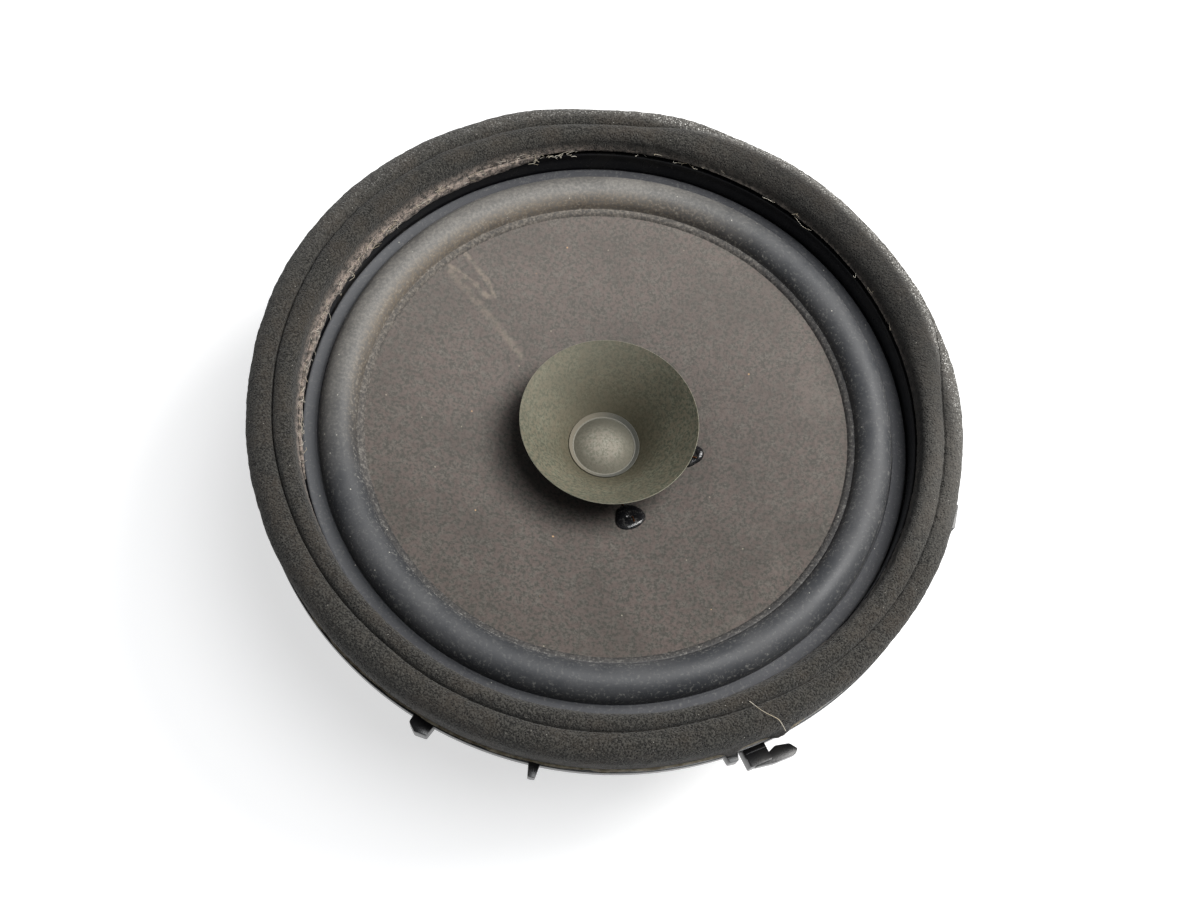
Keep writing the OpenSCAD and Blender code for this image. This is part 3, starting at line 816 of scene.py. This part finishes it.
def ferrite_material():
    p = Paint("ferrite", (0.03, 0.03, 0.032))
    grit = p.noise(0.5 * MM, 4.0, 0.7)
    p.coat(p.ramp(grit, 0.3, 0.7), (0.065, 0.065, 0.068))
    p.coat(p.ramp(p.noise(3.5 * MM), 0.62, 0.68, 0.0, 0.4), (0.1, 0.1, 0.1))
    return p.done(0.62, p.bumps(grit, 0.08 * MM, 0.6), Specular_IOR_Level=0.4)


def cloth_material():
    """Phenolic-dipped cotton: a fine woven grid."""
    p = Paint("spider_cloth", (0.22, 0.13, 0.035))
    x, y, _ = p.xyz()
    pitch = 0.7 * MM
    weave = p.times(*(p.math("SINE", p.times(axis, 2 * math.pi / pitch)) for axis in (x, y)))
    p.coat(p.ramp(weave, -0.8, 0.8), (0.46, 0.31, 0.1))
    p.coat(p.ramp(p.noise(5 * MM), 0.3, 0.7, 0.0, 0.4), (0.2, 0.11, 0.03))
    return p.done(0.7, p.bumps(weave, 0.12 * MM, 0.8), Specular_IOR_Level=0.35)


def speckled(name, dark, light, grain, spread, rough, depth, strength, **sockets):
    """Two tints in a fine noise, which is also the surface's relief. grain is what noise() takes."""
    p = Paint(name, dark)
    fine = p.noise(*grain)
    p.coat(p.ramp(fine, 0.5 - spread, 0.5 + spread), light)
    return p.done(rough, p.bumps(fine, depth, strength), **sockets)


def fibre_material():
    p = Paint("lint", (0.45, 0.38, 0.27))
    p.coat(p.ramp(p.noise(3 * MM), 0.35, 0.65), (0.62, 0.58, 0.5))
    return p.done(0.8)


foam = foam_material()
plastic = plastic_material()
rubber = rubber_material()
zinc = metal("zinc_plated_steel", (0.3, 0.28, 0.2), (0.5, 0.47, 0.36), (0.34, 0.52), rust=0.8)
rivet_steel = metal("rivet_steel", (0.42, 0.42, 0.4), (0.62, 0.61, 0.58))
tin = metal("tinned_steel", (0.5, 0.48, 0.43), (0.7, 0.68, 0.62), (0.25, 0.42))
brass = metal("eyelet_brass", (0.5, 0.34, 0.12), (0.68, 0.5, 0.22))
copper = metal("copper_wire", (0.48, 0.17, 0.06), (0.72, 0.32, 0.14), (0.28, 0.42), 0.4 * MM)
ferrite = ferrite_material()
glue = glue_material()
grain = (0.6 * MM, 4.0, 0.6)
board = speckled("phenolic_board", (0.1, 0.043, 0.017), (0.19, 0.09, 0.04), grain, 0.2, 0.5, 0.04 * MM, 0.5)
grain = (2.5 * MM, 4.0, 0.7)
dried = speckled("dried_adhesive", (0.2, 0.16, 0.1), (0.5, 0.44, 0.33), grain, 0.15, 0.6, 0.3 * MM, 0.6)
copper_braid = (0.42, 0.2, 0.09), (0.74, 0.48, 0.28)
braid = speckled("braided_copper", *copper_braid, (0.25 * MM,), 0.2, 0.42, 0.08 * MM, 0.7, Metallic=0.85)


def settle(piece, body, material, slot, *nodes):
    """Gives a piece its material and body, and hides the CAD nodes that it stands for."""
    dress(piece, material)
    if body:
        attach(piece, body)
    if nodes:
        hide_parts(*nodes)
    return piece


def dress(piece, material):
    piece.data.materials.clear()
    piece.data.materials.append(material)


def radial_blend(piece):
    """Bakes the placement of a ring that spans the basket and the cone into its mesh.
    """
    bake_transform(piece)


# ---- foam ring


def foam_ring():
    """Two soft lobes with a crease between them, uneven along the ring, with open pores."""
    a = np.linspace(0, 360, 1300, endpoint=False)
    inner = wall_out + 0.05 * MM
    base = foam_low.z
    high = foam_high.z - base
    # Uneven outer edge and crease along the ring, in millimetres
    swell = humps(a, (152, 34, 1.5), (336, 16, -0.9), (103, 9, -0.9), (118, 8, 0.5), (87, 7, 0.4))
    swell += humps(a, (300, 12, -0.3), (2, 14, -0.8))
    shift = humps(a, (338, 20, 1.3), (298, 14, -1.3), (238, 34, -0.7), (140, 42, 1.0), (6, 12, 1.0))
    # At the far right the inner lobe swells over the outer one, which sinks behind it
    single = eased(np.minimum(a - 10, 98 - a) / 22)
    shift += 5.4 * single
    wander = around(84, a, 0)
    swell += 0.18 * lumps(wander, 16.0, 3)
    shift += 0.25 * lumps(wander, 13.0, 4)
    sag = 0.4 * lumps(wander, 18.0, 5)
    outer = foam_r - 0.1 * MM + swell * MM
    top = foam_high.z - 0.3 * MM + sag * MM
    width = outer - inner

    def spots(radius, height):
        return np.stack([radius + 0 * a, height + 0 * a], axis=-1)

    # Radii and centres of the outer and the inner lobe, and where their circles meet
    r1 = 0.373 * width - 0.5 * shift * MM
    r2 = 0.249 * width + 0.5 * shift * MM
    c1 = spots(outer - r1, top - r1 - (0.1 + 2.7 * single) * MM)
    c2 = spots(inner + r2 - 0.9 * MM, top - r2)
    between = c2 - c1
    d = np.linalg.norm(between, axis=-1)
    lean = np.arctan2(between[:, 1], between[:, 0]) % (2 * np.pi)
    end1 = lean - np.arccos(np.clip((d * d + r1 * r1 - r2 * r2) / (2 * d * r1), -1, 1))
    end2 = lean - np.pi + np.arccos(np.clip((d * d + r2 * r2 - r1 * r1) / (2 * d * r2), -1, 1))

    def arc(c, r, start, end, n):
        angle = start[:, None] + (end - start)[:, None] * np.linspace(0, 1, n)
        return c[:, None, :] + r[:, None, None] * np.stack([np.cos(angle), np.sin(angle)], axis=-1)

    def line(p, q, n):
        t = np.linspace(0, 1, n, endpoint=False)[None, :, None]
        return p[:, None, :] * (1 - t) + q[:, None, :] * t

    lobe1 = arc(c1, r1, 0 * a, end1, 26)
    lobe2 = arc(c2, r2, end2, np.pi + 0 * a, 20)
    # The crease is cut a little deeper than where the lobes meet
    cut = (1.1 + humps(a, (150, 48, 0.8), (318, 30, 0.9))) * MM
    crease = (lobe1[:, -1] + lobe2[:, 0]) / 2 - spots(0, cut)
    # Two torn beads of foam stand out low down beside the hook
    beads = humps(a, (308.2, 1.3, 1.3), (300.2, 1.1, 1.0)) * MM
    foot_in = spots(inner, base)
    foot_out = spots(flange_r - 0.8 * MM + beads, base)
    waist = spots(outer - 0.2 * MM + 0.8 * beads, base + 0.42 * high)
    # The lower lip hangs in over the wall, most at the far left
    hang = (1.3 + humps(a, (165, 50, 0.5), (305, 22, 0.5))) * MM
    neck = spots(inner - hang, wall_top + 1.5 * MM)
    lip = spots(inner - 0.3 * MM, wall_top + 0.1 * MM)
    rest = spots(inner, wall_top + 0.1 * MM)
    stretches = [
        line(foot_in, foot_out, 8),
        line(foot_out, waist, 12),
        line(waist, lobe1[:, 0], 8),
        lobe1[:, :-1],
        crease[:, None, :],
        lobe2[:, 1:],
        line(lobe2[:, -1], neck, 6)[:, 1:],
        line(neck, lip, 6),
        line(lip, rest, 2),
        line(rest, foot_in, 8),
    ]
    loop = np.concatenate(stretches, axis=1)
    p = around(loop[..., 0], a[:, None], loop[..., 1])
    depth = 0.06 * lumps(p, 5 * MM, 11) + 0.07 * lumps(p, 2.2 * MM, 12) + 0.09 * lumps(p, 0.9 * MM, 13)
    free = np.clip((loop[..., 1] - base) / (1.5 * MM), 0, 1)
    p = pushed(p, depth * free)
    return new_piece("foam_ring", p.reshape(-1, 3), grid_faces(*p.shape[:2]), 180)


piece = settle(foam_ring(), FIXED, foam, "foam", "foam_gasket")


def foam_flap():
    """Torn, dusty edge of the foam that droops over the inside of the wall at the far left."""
    count = 420
    n = 12
    share = np.linspace(0, 1, count)
    a = 116 + 92 * share
    ends = np.clip(np.minimum(share, 1 - share) / 0.14, 0, 1) ** 0.5
    wander = around(72, a, 0)
    ragged = 0.9 * lumps(wander, 4.5, 81) + 0.5 * lumps(wander, 1.6, 82)
    high = wall_top + 1.6 * MM
    low = wall_top + (1.2 - ends * (2.9 + ragged)) * MM
    thick = (0.75 + 0.2 * lumps(wander, 3.0, 83)) * ends * MM + 0.15 * MM
    back = wall_in - 0.08 * MM
    t = np.linspace(0, 1, n)
    fall = high + (low - high)[:, None] * t
    front = back - thick[:, None] * np.sqrt(np.sin(np.pi * (0.15 + 0.82 * t)))
    radius = np.concatenate([front, np.full((count, n), back)], axis=1)
    p = around(radius, a[:, None], np.concatenate([fall, fall[:, ::-1]], axis=1))
    rough = (0.16 * lumps(p, 1.4 * MM, 84) + 0.1 * lumps(p, 0.6 * MM, 85)) * MM
    rough[:, n:] = 0
    p = p - around(rough, a[:, None], 0)
    return new_piece("foam_flap", p.reshape(-1, 3), tube_faces(count, 2 * n, -1), 180)


settle(foam_flap(), FIXED, foam, "foam")

# ---- rubber surround


def surround():
    def arc(r):
        angles = np.linspace(math.pi, 0, 30)[1:-1]
        return [(roll_mid + r * math.cos(t), lip_top + r * math.sin(t)) for t in angles]

    land = roll_mid + roll_r
    edge = 0.25 * MM
    outline = [
        (lip_r - 0.3 * MM, float(cone_z(lip_r - 0.3 * MM)) + 0.02 * MM),
        (lip_r + 0.15 * MM, lip_top - 0.3 * MM),
        (lip_r + 0.7 * MM, lip_top - 0.02 * MM),
        (roll_mid - roll_r - 0.15 * MM, lip_top + 0.02 * MM),
        *arc(roll_r),
        (land + 0.05 * MM, lip_top - 0.2 * MM),
        (land + 0.2 * MM, seat_z - 0.28 * MM),
        (land + 0.38 * MM, seat_z - 0.28 * MM),
        (land + 0.45 * MM, seat_z + 0.1 * MM),
        (land + 0.65 * MM, seat_z + 0.1 * MM),
        (land + 0.75 * MM, seat_z),
        (rim_r - edge, seat_z),
        (rim_r, seat_z - edge),
        (rim_r, seat_z - rubber_t),
        (land - 0.6 * MM, seat_z - rubber_t),
        *arc(roll_r - rubber_t)[::-1],
        (roll_mid - roll_r + rubber_t, lip_top - rubber_t + 0.05 * MM),
    ]

    def shape(p, a):
        return pushed(p, 0.05 * lumps(p, 9 * MM, 21) + 0.02 * lumps(p, 2 * MM, 22))

    return lathe("rubber_surround", dense(outline, 0.55 * MM), 720, 50, shape)


piece = settle(surround(), None, rubber, "rubber", "surround")
radial_blend(piece)

# ---- cones


def paper_cone():
    """The large cone, a little uneven between its neck and its lip."""
    share = np.linspace(0, 1, 90) ** 1.6
    r = neck_r + (cone_r - neck_r) * share
    top = list(zip(r, cone_z(r)))
    under = [(x + min(0.25, 0.05 + 3 * s) * MM, y - cone_t) for (x, y), s in zip(top, share)][::-1]
    neck = [(neck_r + 0.3 * MM, cone_bottom), (sleeve_r, cone_bottom)]
    outline = [(sleeve_r, neck_z), *top, *under[:-1], *neck]

    def shape(p, a):
        push = 0.1 * lumps(p, 24 * MM, 31) + 0.035 * lumps(p, 5 * MM, 32) + 0.02 * lumps(p, 1.6 * MM, 33)
        radius = radii(p)
        calm = np.clip((radius - neck_r) / (4 * MM), 0, 1) * np.clip((lip_r - radius) / (3 * MM), 0, 1)
        return raised(p, push * calm)

    return lathe("paper_cone", dense(outline, 0.8 * MM), 540, 50, shape)


def whizzer():
    """The small paper horn, thin at its edge, on a sleeve over the cone's neck."""
    share = np.linspace(0, 1, 40) ** 1.5
    r = sleeve_r + (whizzer_r - sleeve_r) * share
    top = list(zip(r, whizzer_z(r)))
    t = whizzer_t * 0.7 * np.clip((1 - share) / 0.12, 0.45, 1)
    under = [(x + d, y - d) for (x, y), d in zip(top, t)][::-1]
    edge = (top[-1][0] + t[-1] * 0.7, top[-1][1] - t[-1] * 0.3)
    outline = [*top, edge, *under[:-1], (sleeve_r + whizzer_t, throat_z - 0.2 * MM)]
    outline += [(sleeve_r + whizzer_t, sleeve_z), (sleeve_r, sleeve_z)]

    def shape(p, a):
        reach = np.clip((radii(p) - sleeve_r) / (whizzer_r - sleeve_r), 0, 1) ** 2
        p = raised(p, reach * humps(a, (205, 40, 0.22), (60, 35, -0.18)))
        return raised(p, reach * 0.06 * lumps(p, 6 * MM, 41))

    return lathe("whizzer_horn", outline, 300, 50, shape)


def dust_cap():
    """Domed paper cap with a fold and a narrow flat rim glued to the throat."""
    fold = cap_fold
    skin = 0.3 * MM
    low = throat_z + 0.12 * MM
    rise = cap_high.z - low - skin
    lift = whizzer_z(cap_r) + 0.12 * MM
    r = np.linspace(0, fold - 0.15 * MM, 24)
    dome = [(x, low + skin + rise * (1 - (x / fold) ** 2)) for x in r]
    rim = [
        (fold, low + skin + 0.2 * MM),
        (fold + 0.12 * MM, low + skin + 0.32 * MM),
        (fold + 0.25 * MM, low + skin + 0.28 * MM),
        (cap_r - 0.12 * MM, lift + skin),
        (cap_r, lift + 0.15 * MM),
        (cap_r, lift),
        (fold, low),
    ]
    under = [(x, y - skin) for x, y in dome[-2::-1]]

    def shape(p, a):
        return raised(p, 0.025 * lumps(p, 1.3 * MM, 51))

    return disc("domed_cap", dome + rim + under, 160, 50, shape)


settle(paper_cone(), MOVING, cone_material(), "cone_paper", "cone")
settle(whizzer(), MOVING, whizzer_material(), "whizzer_paper", "whizzer_cone")
settle(dust_cap(), MOVING, cap_material(), "cap_paper", "dust_cap")

# ---- glue and coil wires


def on_cone(azimuth, radius, lift, aside):
    """A point just above the cone's paper."""
    height = float(cone_z(math.hypot(radius, aside))) + lift
    return Matrix.Rotation(azimuth, 4, "Z") @ Vector((radius, aside, height))


def glue_drop(name, azimuth, shift, half_out, half_side, seed):
    """An uneven oval drop with a dent in its top, on the curved paper over an eyelet."""
    rings, sides = 20, 72

    def height(s):
        dent = 0.42 * math.exp(-((s / 0.34) ** 2))
        return 1.3 * MM * (max(0.0, 1 - s**3) ** 0.55 - dent)

    points = [on_cone(azimuth, eyelet_r + shift, height(0), 0)]
    for i in range(1, rings + 1):
        s = i / rings
        for k in range(sides):
            t = 2 * math.pi * k / sides
            wave = 1 + 0.1 * math.sin(2 * t + seed) + 0.06 * math.sin(3 * t + 2 * seed)
            out = shift + half_out * s * wave * math.cos(t)
            side = half_side * s * wave * math.sin(t)
            lift = height(s) * (1 + 0.16 * math.sin(3 * t + seed) * (1 - s)) - 0.02 * MM
            points.append(on_cone(azimuth, eyelet_r + out, lift, side))
    faces = [[0, 1 + k, 1 + (k + 1) % sides] for k in range(sides)]
    for i in range(rings - 1):
        for k in range(sides):
            a, b = 1 + i * sides + k, 1 + i * sides + (k + 1) % sides
            faces.append([a, a + sides, b + sides, b])
    faces.append([1 + (rings - 1) * sides + k for k in reversed(range(sides))])
    return new_piece(name, points, faces, 60)


def coil_tail(name, azimuth, seed):
    """Fine copper wire from the drop down the paper to the neck."""
    path = []
    for s in np.linspace(0, 1, 26):
        radius = eyelet_r + 0.8 * MM - s * (eyelet_r - neck_r - 1.6 * MM)
        aside = 0.5 * MM * math.sin(5 * s + seed)
        lift = (0.3 + 1.05 * math.exp(-((s / 0.14) ** 2))) * MM
        path.append(on_cone(azimuth, radius, lift, aside))
    return sweep(name, path, 0.16 * MM, 8)


drops = [
    glue_drop("glue_drop_right", eyelet_az[0] + 0.04, -0.3 * MM, 2.6 * MM, 3.1 * MM, 0.6),
    glue_drop("glue_drop_near", eyelet_az[1], -1.1 * MM, 3.5 * MM, 4.1 * MM, 2.1),
]
settle(join("glue_drops", drops, 60), MOVING, glue, "glue", "eyelet_glue")
tails = [coil_tail(f"tail_{i}", az, i) for i, az in enumerate(eyelet_az)]
settle(join("coil_wires", tails, 60), MOVING, copper, "copper", "voice_coil_tails")

# ---- spider and leads


def spider():
    """Corrugated cloth between a collar on the coil and a flat shelf."""
    r, z = section("spider")
    outer = r.max()
    inner = r.min()
    cloth = 0.4 * MM
    shelf = 3.6 * MM
    waves = 4
    rise = 1.1 * MM
    middle = z[r > outer - close].mean()
    collar = middle + 0.9 * MM
    a, b = inner + 3 * MM, outer - shelf
    r = np.linspace(inner + cloth, outer, 150)
    flow = np.where((r > a) & (r < b), np.sin(2 * np.pi * waves * (r - a) / (b - a)), 0)
    z = middle + rise * flow
    top = [(inner, collar), (inner + cloth, collar), *zip(r, z + cloth / 2)]
    under = [*zip(r, z - cloth / 2)][::-1] + [(inner, middle - cloth / 2)]
    return lathe("cloth_spider", top + under, 420, 50)


piece = settle(spider(), None, cloth_material(), "spider_cloth", "spider")
radial_blend(piece)


def tinsel_lead(name, node):
    """Braided lead with slack, from the terminal's rivet to the eyelet under the cone."""
    p = corners(node)
    turn = Matrix.Rotation(-board_az, 4, "Z")
    local = np.array([turn @ Vector(v) for v in p])
    start = Vector(local[local[:, 0] > local[:, 0].max() - 0.5 * MM].mean(axis=0))
    end = Vector(local[local[:, 0] < local[:, 0].min() + 0.5 * MM].mean(axis=0))
    sag = 4 * MM
    path = []
    for t in np.linspace(0, 1, 260):
        point = start.lerp(end, t) - Vector((0, 0, sag * math.sin(math.pi * t)))
        path.append(at(board_az) @ point)
    sides = 16

    def swell(i, k):
        phase = 2 * math.pi * k / sides
        return 1 + 0.07 * math.sin(4 * phase + 0.55 * i) * math.sin(4 * phase - 0.55 * i)

    piece = sweep(name, path, 0.57 * MM, sides, swell)
    settle(piece, None, braid, "braid", node)
    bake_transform(piece)


tinsel_lead("braid_positive", "tinsel_lead_positive")
tinsel_lead("braid_negative", "tinsel_lead_negative")

# ---- basket


def basket():
    ring = [
        (seat_in, seat_z - rubber_t),
        (wall_in, seat_z - rubber_t),
        (wall_in, wall_top),
        (wall_out, wall_top),
        (wall_out, flange_top),
        (flange_r, flange_top),
        (flange_r, flange_z),
        (skirt_r, flange_z),
        (skirt_r, skirt_z),
        (skirt_in, skirt_z),
        (skirt_in, flange_z),
        (seat_in, flange_z),
    ]
    floor_top = floor_z + 2.5 * MM
    shelf_r = floor_r - 1 * MM
    shelf_in = shelf_r - 3 * MM
    shelf_top = floor_z + 8 * MM
    seat = [
        (floor_in, floor_z),
        (floor_r, floor_z),
        (floor_r, floor_top),
        (shelf_r, floor_top),
        (shelf_r, shelf_top),
        (shelf_in, shelf_top),
        (shelf_in, floor_top),
        (floor_in, floor_top),
    ]
    parts = [
        lathe("ring", rounded(ring, 0.35 * MM), 360),
        lathe("seat", rounded(seat, 0.35 * MM), 240),
    ]
    for i in range(4):
        parts += spoke(at(board_az + i * math.pi / 2) @ UPRIGHT)
    board_in = float(section("terminal_board")[0].min())
    pad = oblong(board_in - 2 * MM, board_in, 6 * MM)
    parts.append(prism(pad, board_low.z, skirt_z - 0.5 * MM, at(board_az), 0.3 * MM))
    return join("basket_moulding", parts + hook() + [fin(), lug(), stub(), tab()], 32)


def spoke(place):
    """A sloping spoke from the floor to the skirt, with three ribs under it."""
    spoke_t = 3 * MM
    spoke_r = skirt_r - 0.4 * MM
    web = [
        (floor_r, floor_z),
        (spoke_r, skirt_z + 0.05 * MM),
        (spoke_r, skirt_z + 1 * MM),
        (skirt_in, skirt_z + spoke_t),
        (floor_r - 3 * MM, floor_z + spoke_t),
        (floor_r - 3 * MM, floor_z),
    ]
    rib = [
        (floor_r - 1 * MM, floor_z + 0.1 * MM),
        (floor_r + 8 * MM, floor_z + 1 * MM),
        (skirt_r - 9.5 * MM, skirt_z - 6 * MM),
        (skirt_r - 6 * MM, skirt_z - 1 * MM),
        (floor_r, floor_z + 1 * MM),
    ]
    ribs = [prism(rib, (y - 1.1) * MM, (y + 1.1) * MM, place, 0.3 * MM) for y in (-5.8, 0, 5.8)]
    return [prism(web, -7 * MM, 7 * MM, place, 0.5 * MM), *ribs]


def oblong(x1, x2, y):
    """A rectangle that is even about the X axis."""
    return [(x1, -y), (x2, -y), (x2, y), (x1, y)]


def knob(azimuth, outline, corner, low, high, bevel, slope=Matrix()):
    """A block on the flange's edge, from low to high beside the flange's top. Degrees, then millimetres."""
    outline = [(x * MM, y * MM) for x, y in outline]
    if corner:
        outline = rounded(outline, corner * MM)
    place = at(math.radians(azimuth), flange_r) @ slope
    return prism(outline, flange_top + low * MM, flange_top + high * MM, place, bevel * MM)


def hook():
    """Hook with a sideways arm: a block with a stepped top, and a leaf that stands off its corner."""
    # A shear that raises what is further out, so that a top dips towards the flange
    sloped = Matrix(((1, 0, 0, 0), (0, 1, 0, 0), (0.22, 0, 1, 0), (0, 0, 0, 1)))
    leaf = [(2.4, 2.2), (4.2, -1.4), (4.9, 3.0), (4.9, 7.9), (3.9, 9.0), (2.1, 7.8), (1.4, 4.6)]
    return [
        knob(-56, oblong(-0.6, 4, 2.6), 0.4, -4.6, 0, 0.45, sloped),
        knob(-56, oblong(0.3, 1.0, 2.4), 0, -1, 0.12, 0.1, sloped),
        knob(-56, leaf, 0.35, -3.2, -0.6, 0.5, sloped),
    ]


def fin():
    return knob(-89.8, [(-0.5, -1.3), (2.8, -0.8), (2.8, 0.8), (-0.5, 1.3)], 0.3, -3, 0, 0.25)


def lug():
    outline = [(-0.6, -2.6), (1.6, -2.6), (2.9, -0.6), (2.4, 2.2), (-0.6, 2.6)]
    return knob(-107.6, outline, 0.3, -4, 0, 1.1)


def stub():
    return knob(-59.4, [(-0.6, -1.6), (1.4, -1.2), (1.6, 0.9), (-0.6, 1.5)], 0.4, -4.4, -0.8, 0.5)


def tab():
    return knob(-2.6, oblong(-0.6, 2.8, 3.2), 0.4, -2.8, 0, 0.3)


settle(basket(), FIXED, plastic, "basket_plastic", "basket")

# ---- adhesive


def adhesive():
    """Tape under the foam, whose squeezed-out edge shows along the flange."""
    low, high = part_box("foam_adhesive")
    outline = [(wall_out + 0.4 * MM, low.z), (flange_r - 0.5 * MM, low.z)]
    outline += [(flange_r - 0.3 * MM, high.z), (wall_out + 0.4 * MM, high.z)]

    def shape(p, a):
        edge = radii(p) > flange_r - 2 * MM
        push = 0.25 * lumps(p, 3 * MM, 61) * MM * edge
        scale = 1 + push / flange_r
        return p * np.stack([scale, scale, 1 + 0 * push], axis=-1)

    return lathe("foam_tape", dense(outline, 3 * MM), 540, 50, shape)


settle(adhesive(), FIXED, dried, "adhesive", "foam_adhesive")

# ---- motor


def front_plate():
    return lathe("front_plate", rounded(ring_outline("top_plate"), 0.4 * MM), 192)


def ring_magnet():
    """A ferrite ring with a softened, slightly chipped surface."""

    def chipped(p, a):
        return pushed(p, np.minimum(0.12 * lumps(p, 3 * MM, 71) + 0.06 * lumps(p, 1.2 * MM, 72), 0.02))

    outline = dense(rounded(ring_outline("magnet"), 0.9 * MM, 2), 1.2 * MM)
    return lathe("ring_magnet", outline, 300, 50, chipped)


def back_plate():
    """Back plate with a bevelled lower edge, and the pole in one piece with it."""
    low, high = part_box("yoke")
    r, z = section("yoke")
    plate_r = r.max()
    bevel = plate_r - r[z < low.z + close].max()
    pole = r[z > low.z + 12 * MM].max()
    plate_top = z[r > plate_r - close].max()
    outline = [
        (0, low.z),
        (plate_r - bevel - 0.3 * MM, low.z),
        (plate_r - bevel, low.z + 0.1 * MM),
        (plate_r - 0.1 * MM, low.z + bevel),
        (plate_r, low.z + bevel + 0.3 * MM),
        (plate_r, plate_top - 0.3 * MM),
        (plate_r - 0.3 * MM, plate_top),
        (pole + 1.2 * MM, plate_top),
        (pole, plate_top + 1.2 * MM),
        (pole, high.z - 0.4 * MM),
        (pole - 0.4 * MM, high.z),
        (0, high.z),
    ]
    return disc("back_plate_and_pole", outline, 192, 30)


def coil():
    """Enamelled wire wound in close turns."""
    r, z = section("voice_coil_winding")
    turns = 32
    wire = (z.max() - z.min()) / turns
    outline = [(r.min(), z.max()), (r.min(), z.min())]
    for i in range(turns):
        low = z.min() + i * wire
        outline += [(r.max() - 0.09 * MM, low), (r.max(), low + wire * 0.35), (r.max(), low + wire * 0.65)]
    return lathe("wire_turns", outline, 128, 60)


def film_material():
    p = Paint("former_film", (0.3, 0.13, 0.03))
    p.coat(p.noise(4 * MM), (0.5, 0.27, 0.08))
    return p.done(0.35)


settle(front_plate(), FIXED, zinc, "zinc_steel", "top_plate")
settle(ring_magnet(), FIXED, ferrite, "ferrite", "magnet")
settle(back_plate(), FIXED, zinc, "zinc_steel", "yoke")
settle(coil(), MOVING, copper, "copper", "voice_coil_winding")

# ---- rivets, and CAD nodes shown as they are


def rivet(bore, low, high, place):
    """A shank with a domed, dimpled head above."""
    cap = bore * 1.65
    outline = [
        (0, low),
        (bore, low),
        (bore, high),
        (cap, high + 0.02 * MM),
        (cap, high + 0.25 * MM),
        (bore * 1.2, high + 0.72 * MM),
        (bore * 0.55, high + 0.8 * MM),
        (bore * 0.45, high + 0.5 * MM),
        (0, high + 0.45 * MM),
    ]
    piece = disc("rivet", outline, 40, 35)
    piece.data.transform(place)
    return piece


def motor_rivets():
    low = corners("motor_rivets")[:, 2].min()
    high = floor_z + 2.5 * MM
    r = float(section("motor_rivets")[0].mean())
    places = [at(board_az + math.radians(45 + 90 * i), r) for i in range(4)]
    return join("basket_rivets", [rivet(1.6 * MM, low, high, place) for place in places])


settle(motor_rivets(), FIXED, rivet_steel, "rivet_steel", "motor_rivets")

AS_THEY_ARE = {
    "board_rivets": rivet_steel,
    "terminal_rivets": rivet_steel,
    "terminal_positive": tin,
    "terminal_negative": tin,
    "lead_eyelets": brass,
    "neck_glue": glue,
    "terminal_board": board,
    "voice_coil_former": film_material(),
}
for node, material in AS_THEY_ARE.items():
    dress(frame["nodes"][node], material)

# ---- lint caught on the foam


def strand(name, points, radius):
    """A fine hair through a few points, as a smooth curve."""
    path = []
    for i in range(len(points) - 1):
        a, b = points[i], points[i + 1]
        before = points[max(i - 1, 0)]
        after = points[min(i + 2, len(points) - 1)]
        bend = 2 * before - 5 * a + 4 * b - after
        twist = 3 * a - before - 3 * b + after
        for t in np.linspace(0, 1, 8, endpoint=False):
            path.append(0.5 * (2 * a + (b - before) * t + bend * t**2 + twist * t**3))
    path.append(points[-1])
    return sweep(name, path, radius, 6)


def over_seat(azimuth, radius, height):
    """A point over the seat, in degrees and millimetres."""
    return polar(azimuth, radius, height) + Vector((0, 0, seat_z))


def lint(name, count, azimuths_from, azimuths_to, lip, seed):
    """Fine curled fibres caught on the foam's lower lip."""
    rng = np.random.default_rng(seed)
    strands = []
    for i in range(count):
        azimuth = azimuths_from + (azimuths_to - azimuths_from) * rng.random()
        radius = wall_in / MM + lip + 0.9 * rng.random()
        height = (wall_top - seat_z) / MM + 2.4 * rng.random()
        path = [over_seat(azimuth, radius, height)]
        for _ in range(3):
            azimuth += rng.normal(0, 0.75)
            radius += rng.normal(-0.15, 0.45)
            height += rng.normal(0.15, 0.35)
            path.append(over_seat(azimuth, radius, height))
        strands.append(strand(f"{name}_{i}", path, rng.uniform(0.02, 0.045) * MM))
    return join(name, strands, 180)


fibre = fibre_material()
settle(lint("lint_far_left", 150, 108, 204, -0.9, 5), FIXED, fibre, "foam")
settle(lint("lint_far_right", 26, 30, 100, 0.3, 6), FIXED, fibre, "foam")
hair = [
    over_seat(-56.4, 75.6, 13.0),
    over_seat(-55.3, 78.2, 13.1),
    over_seat(-54.6, 79.6, 13.3),
    over_seat(-53.4, 81.6, 12.9),
    over_seat(-52.8, 84.0, 10.6),
]
settle(strand("hair_over_foam", hair, 0.06 * MM), FIXED, fibre, "foam")
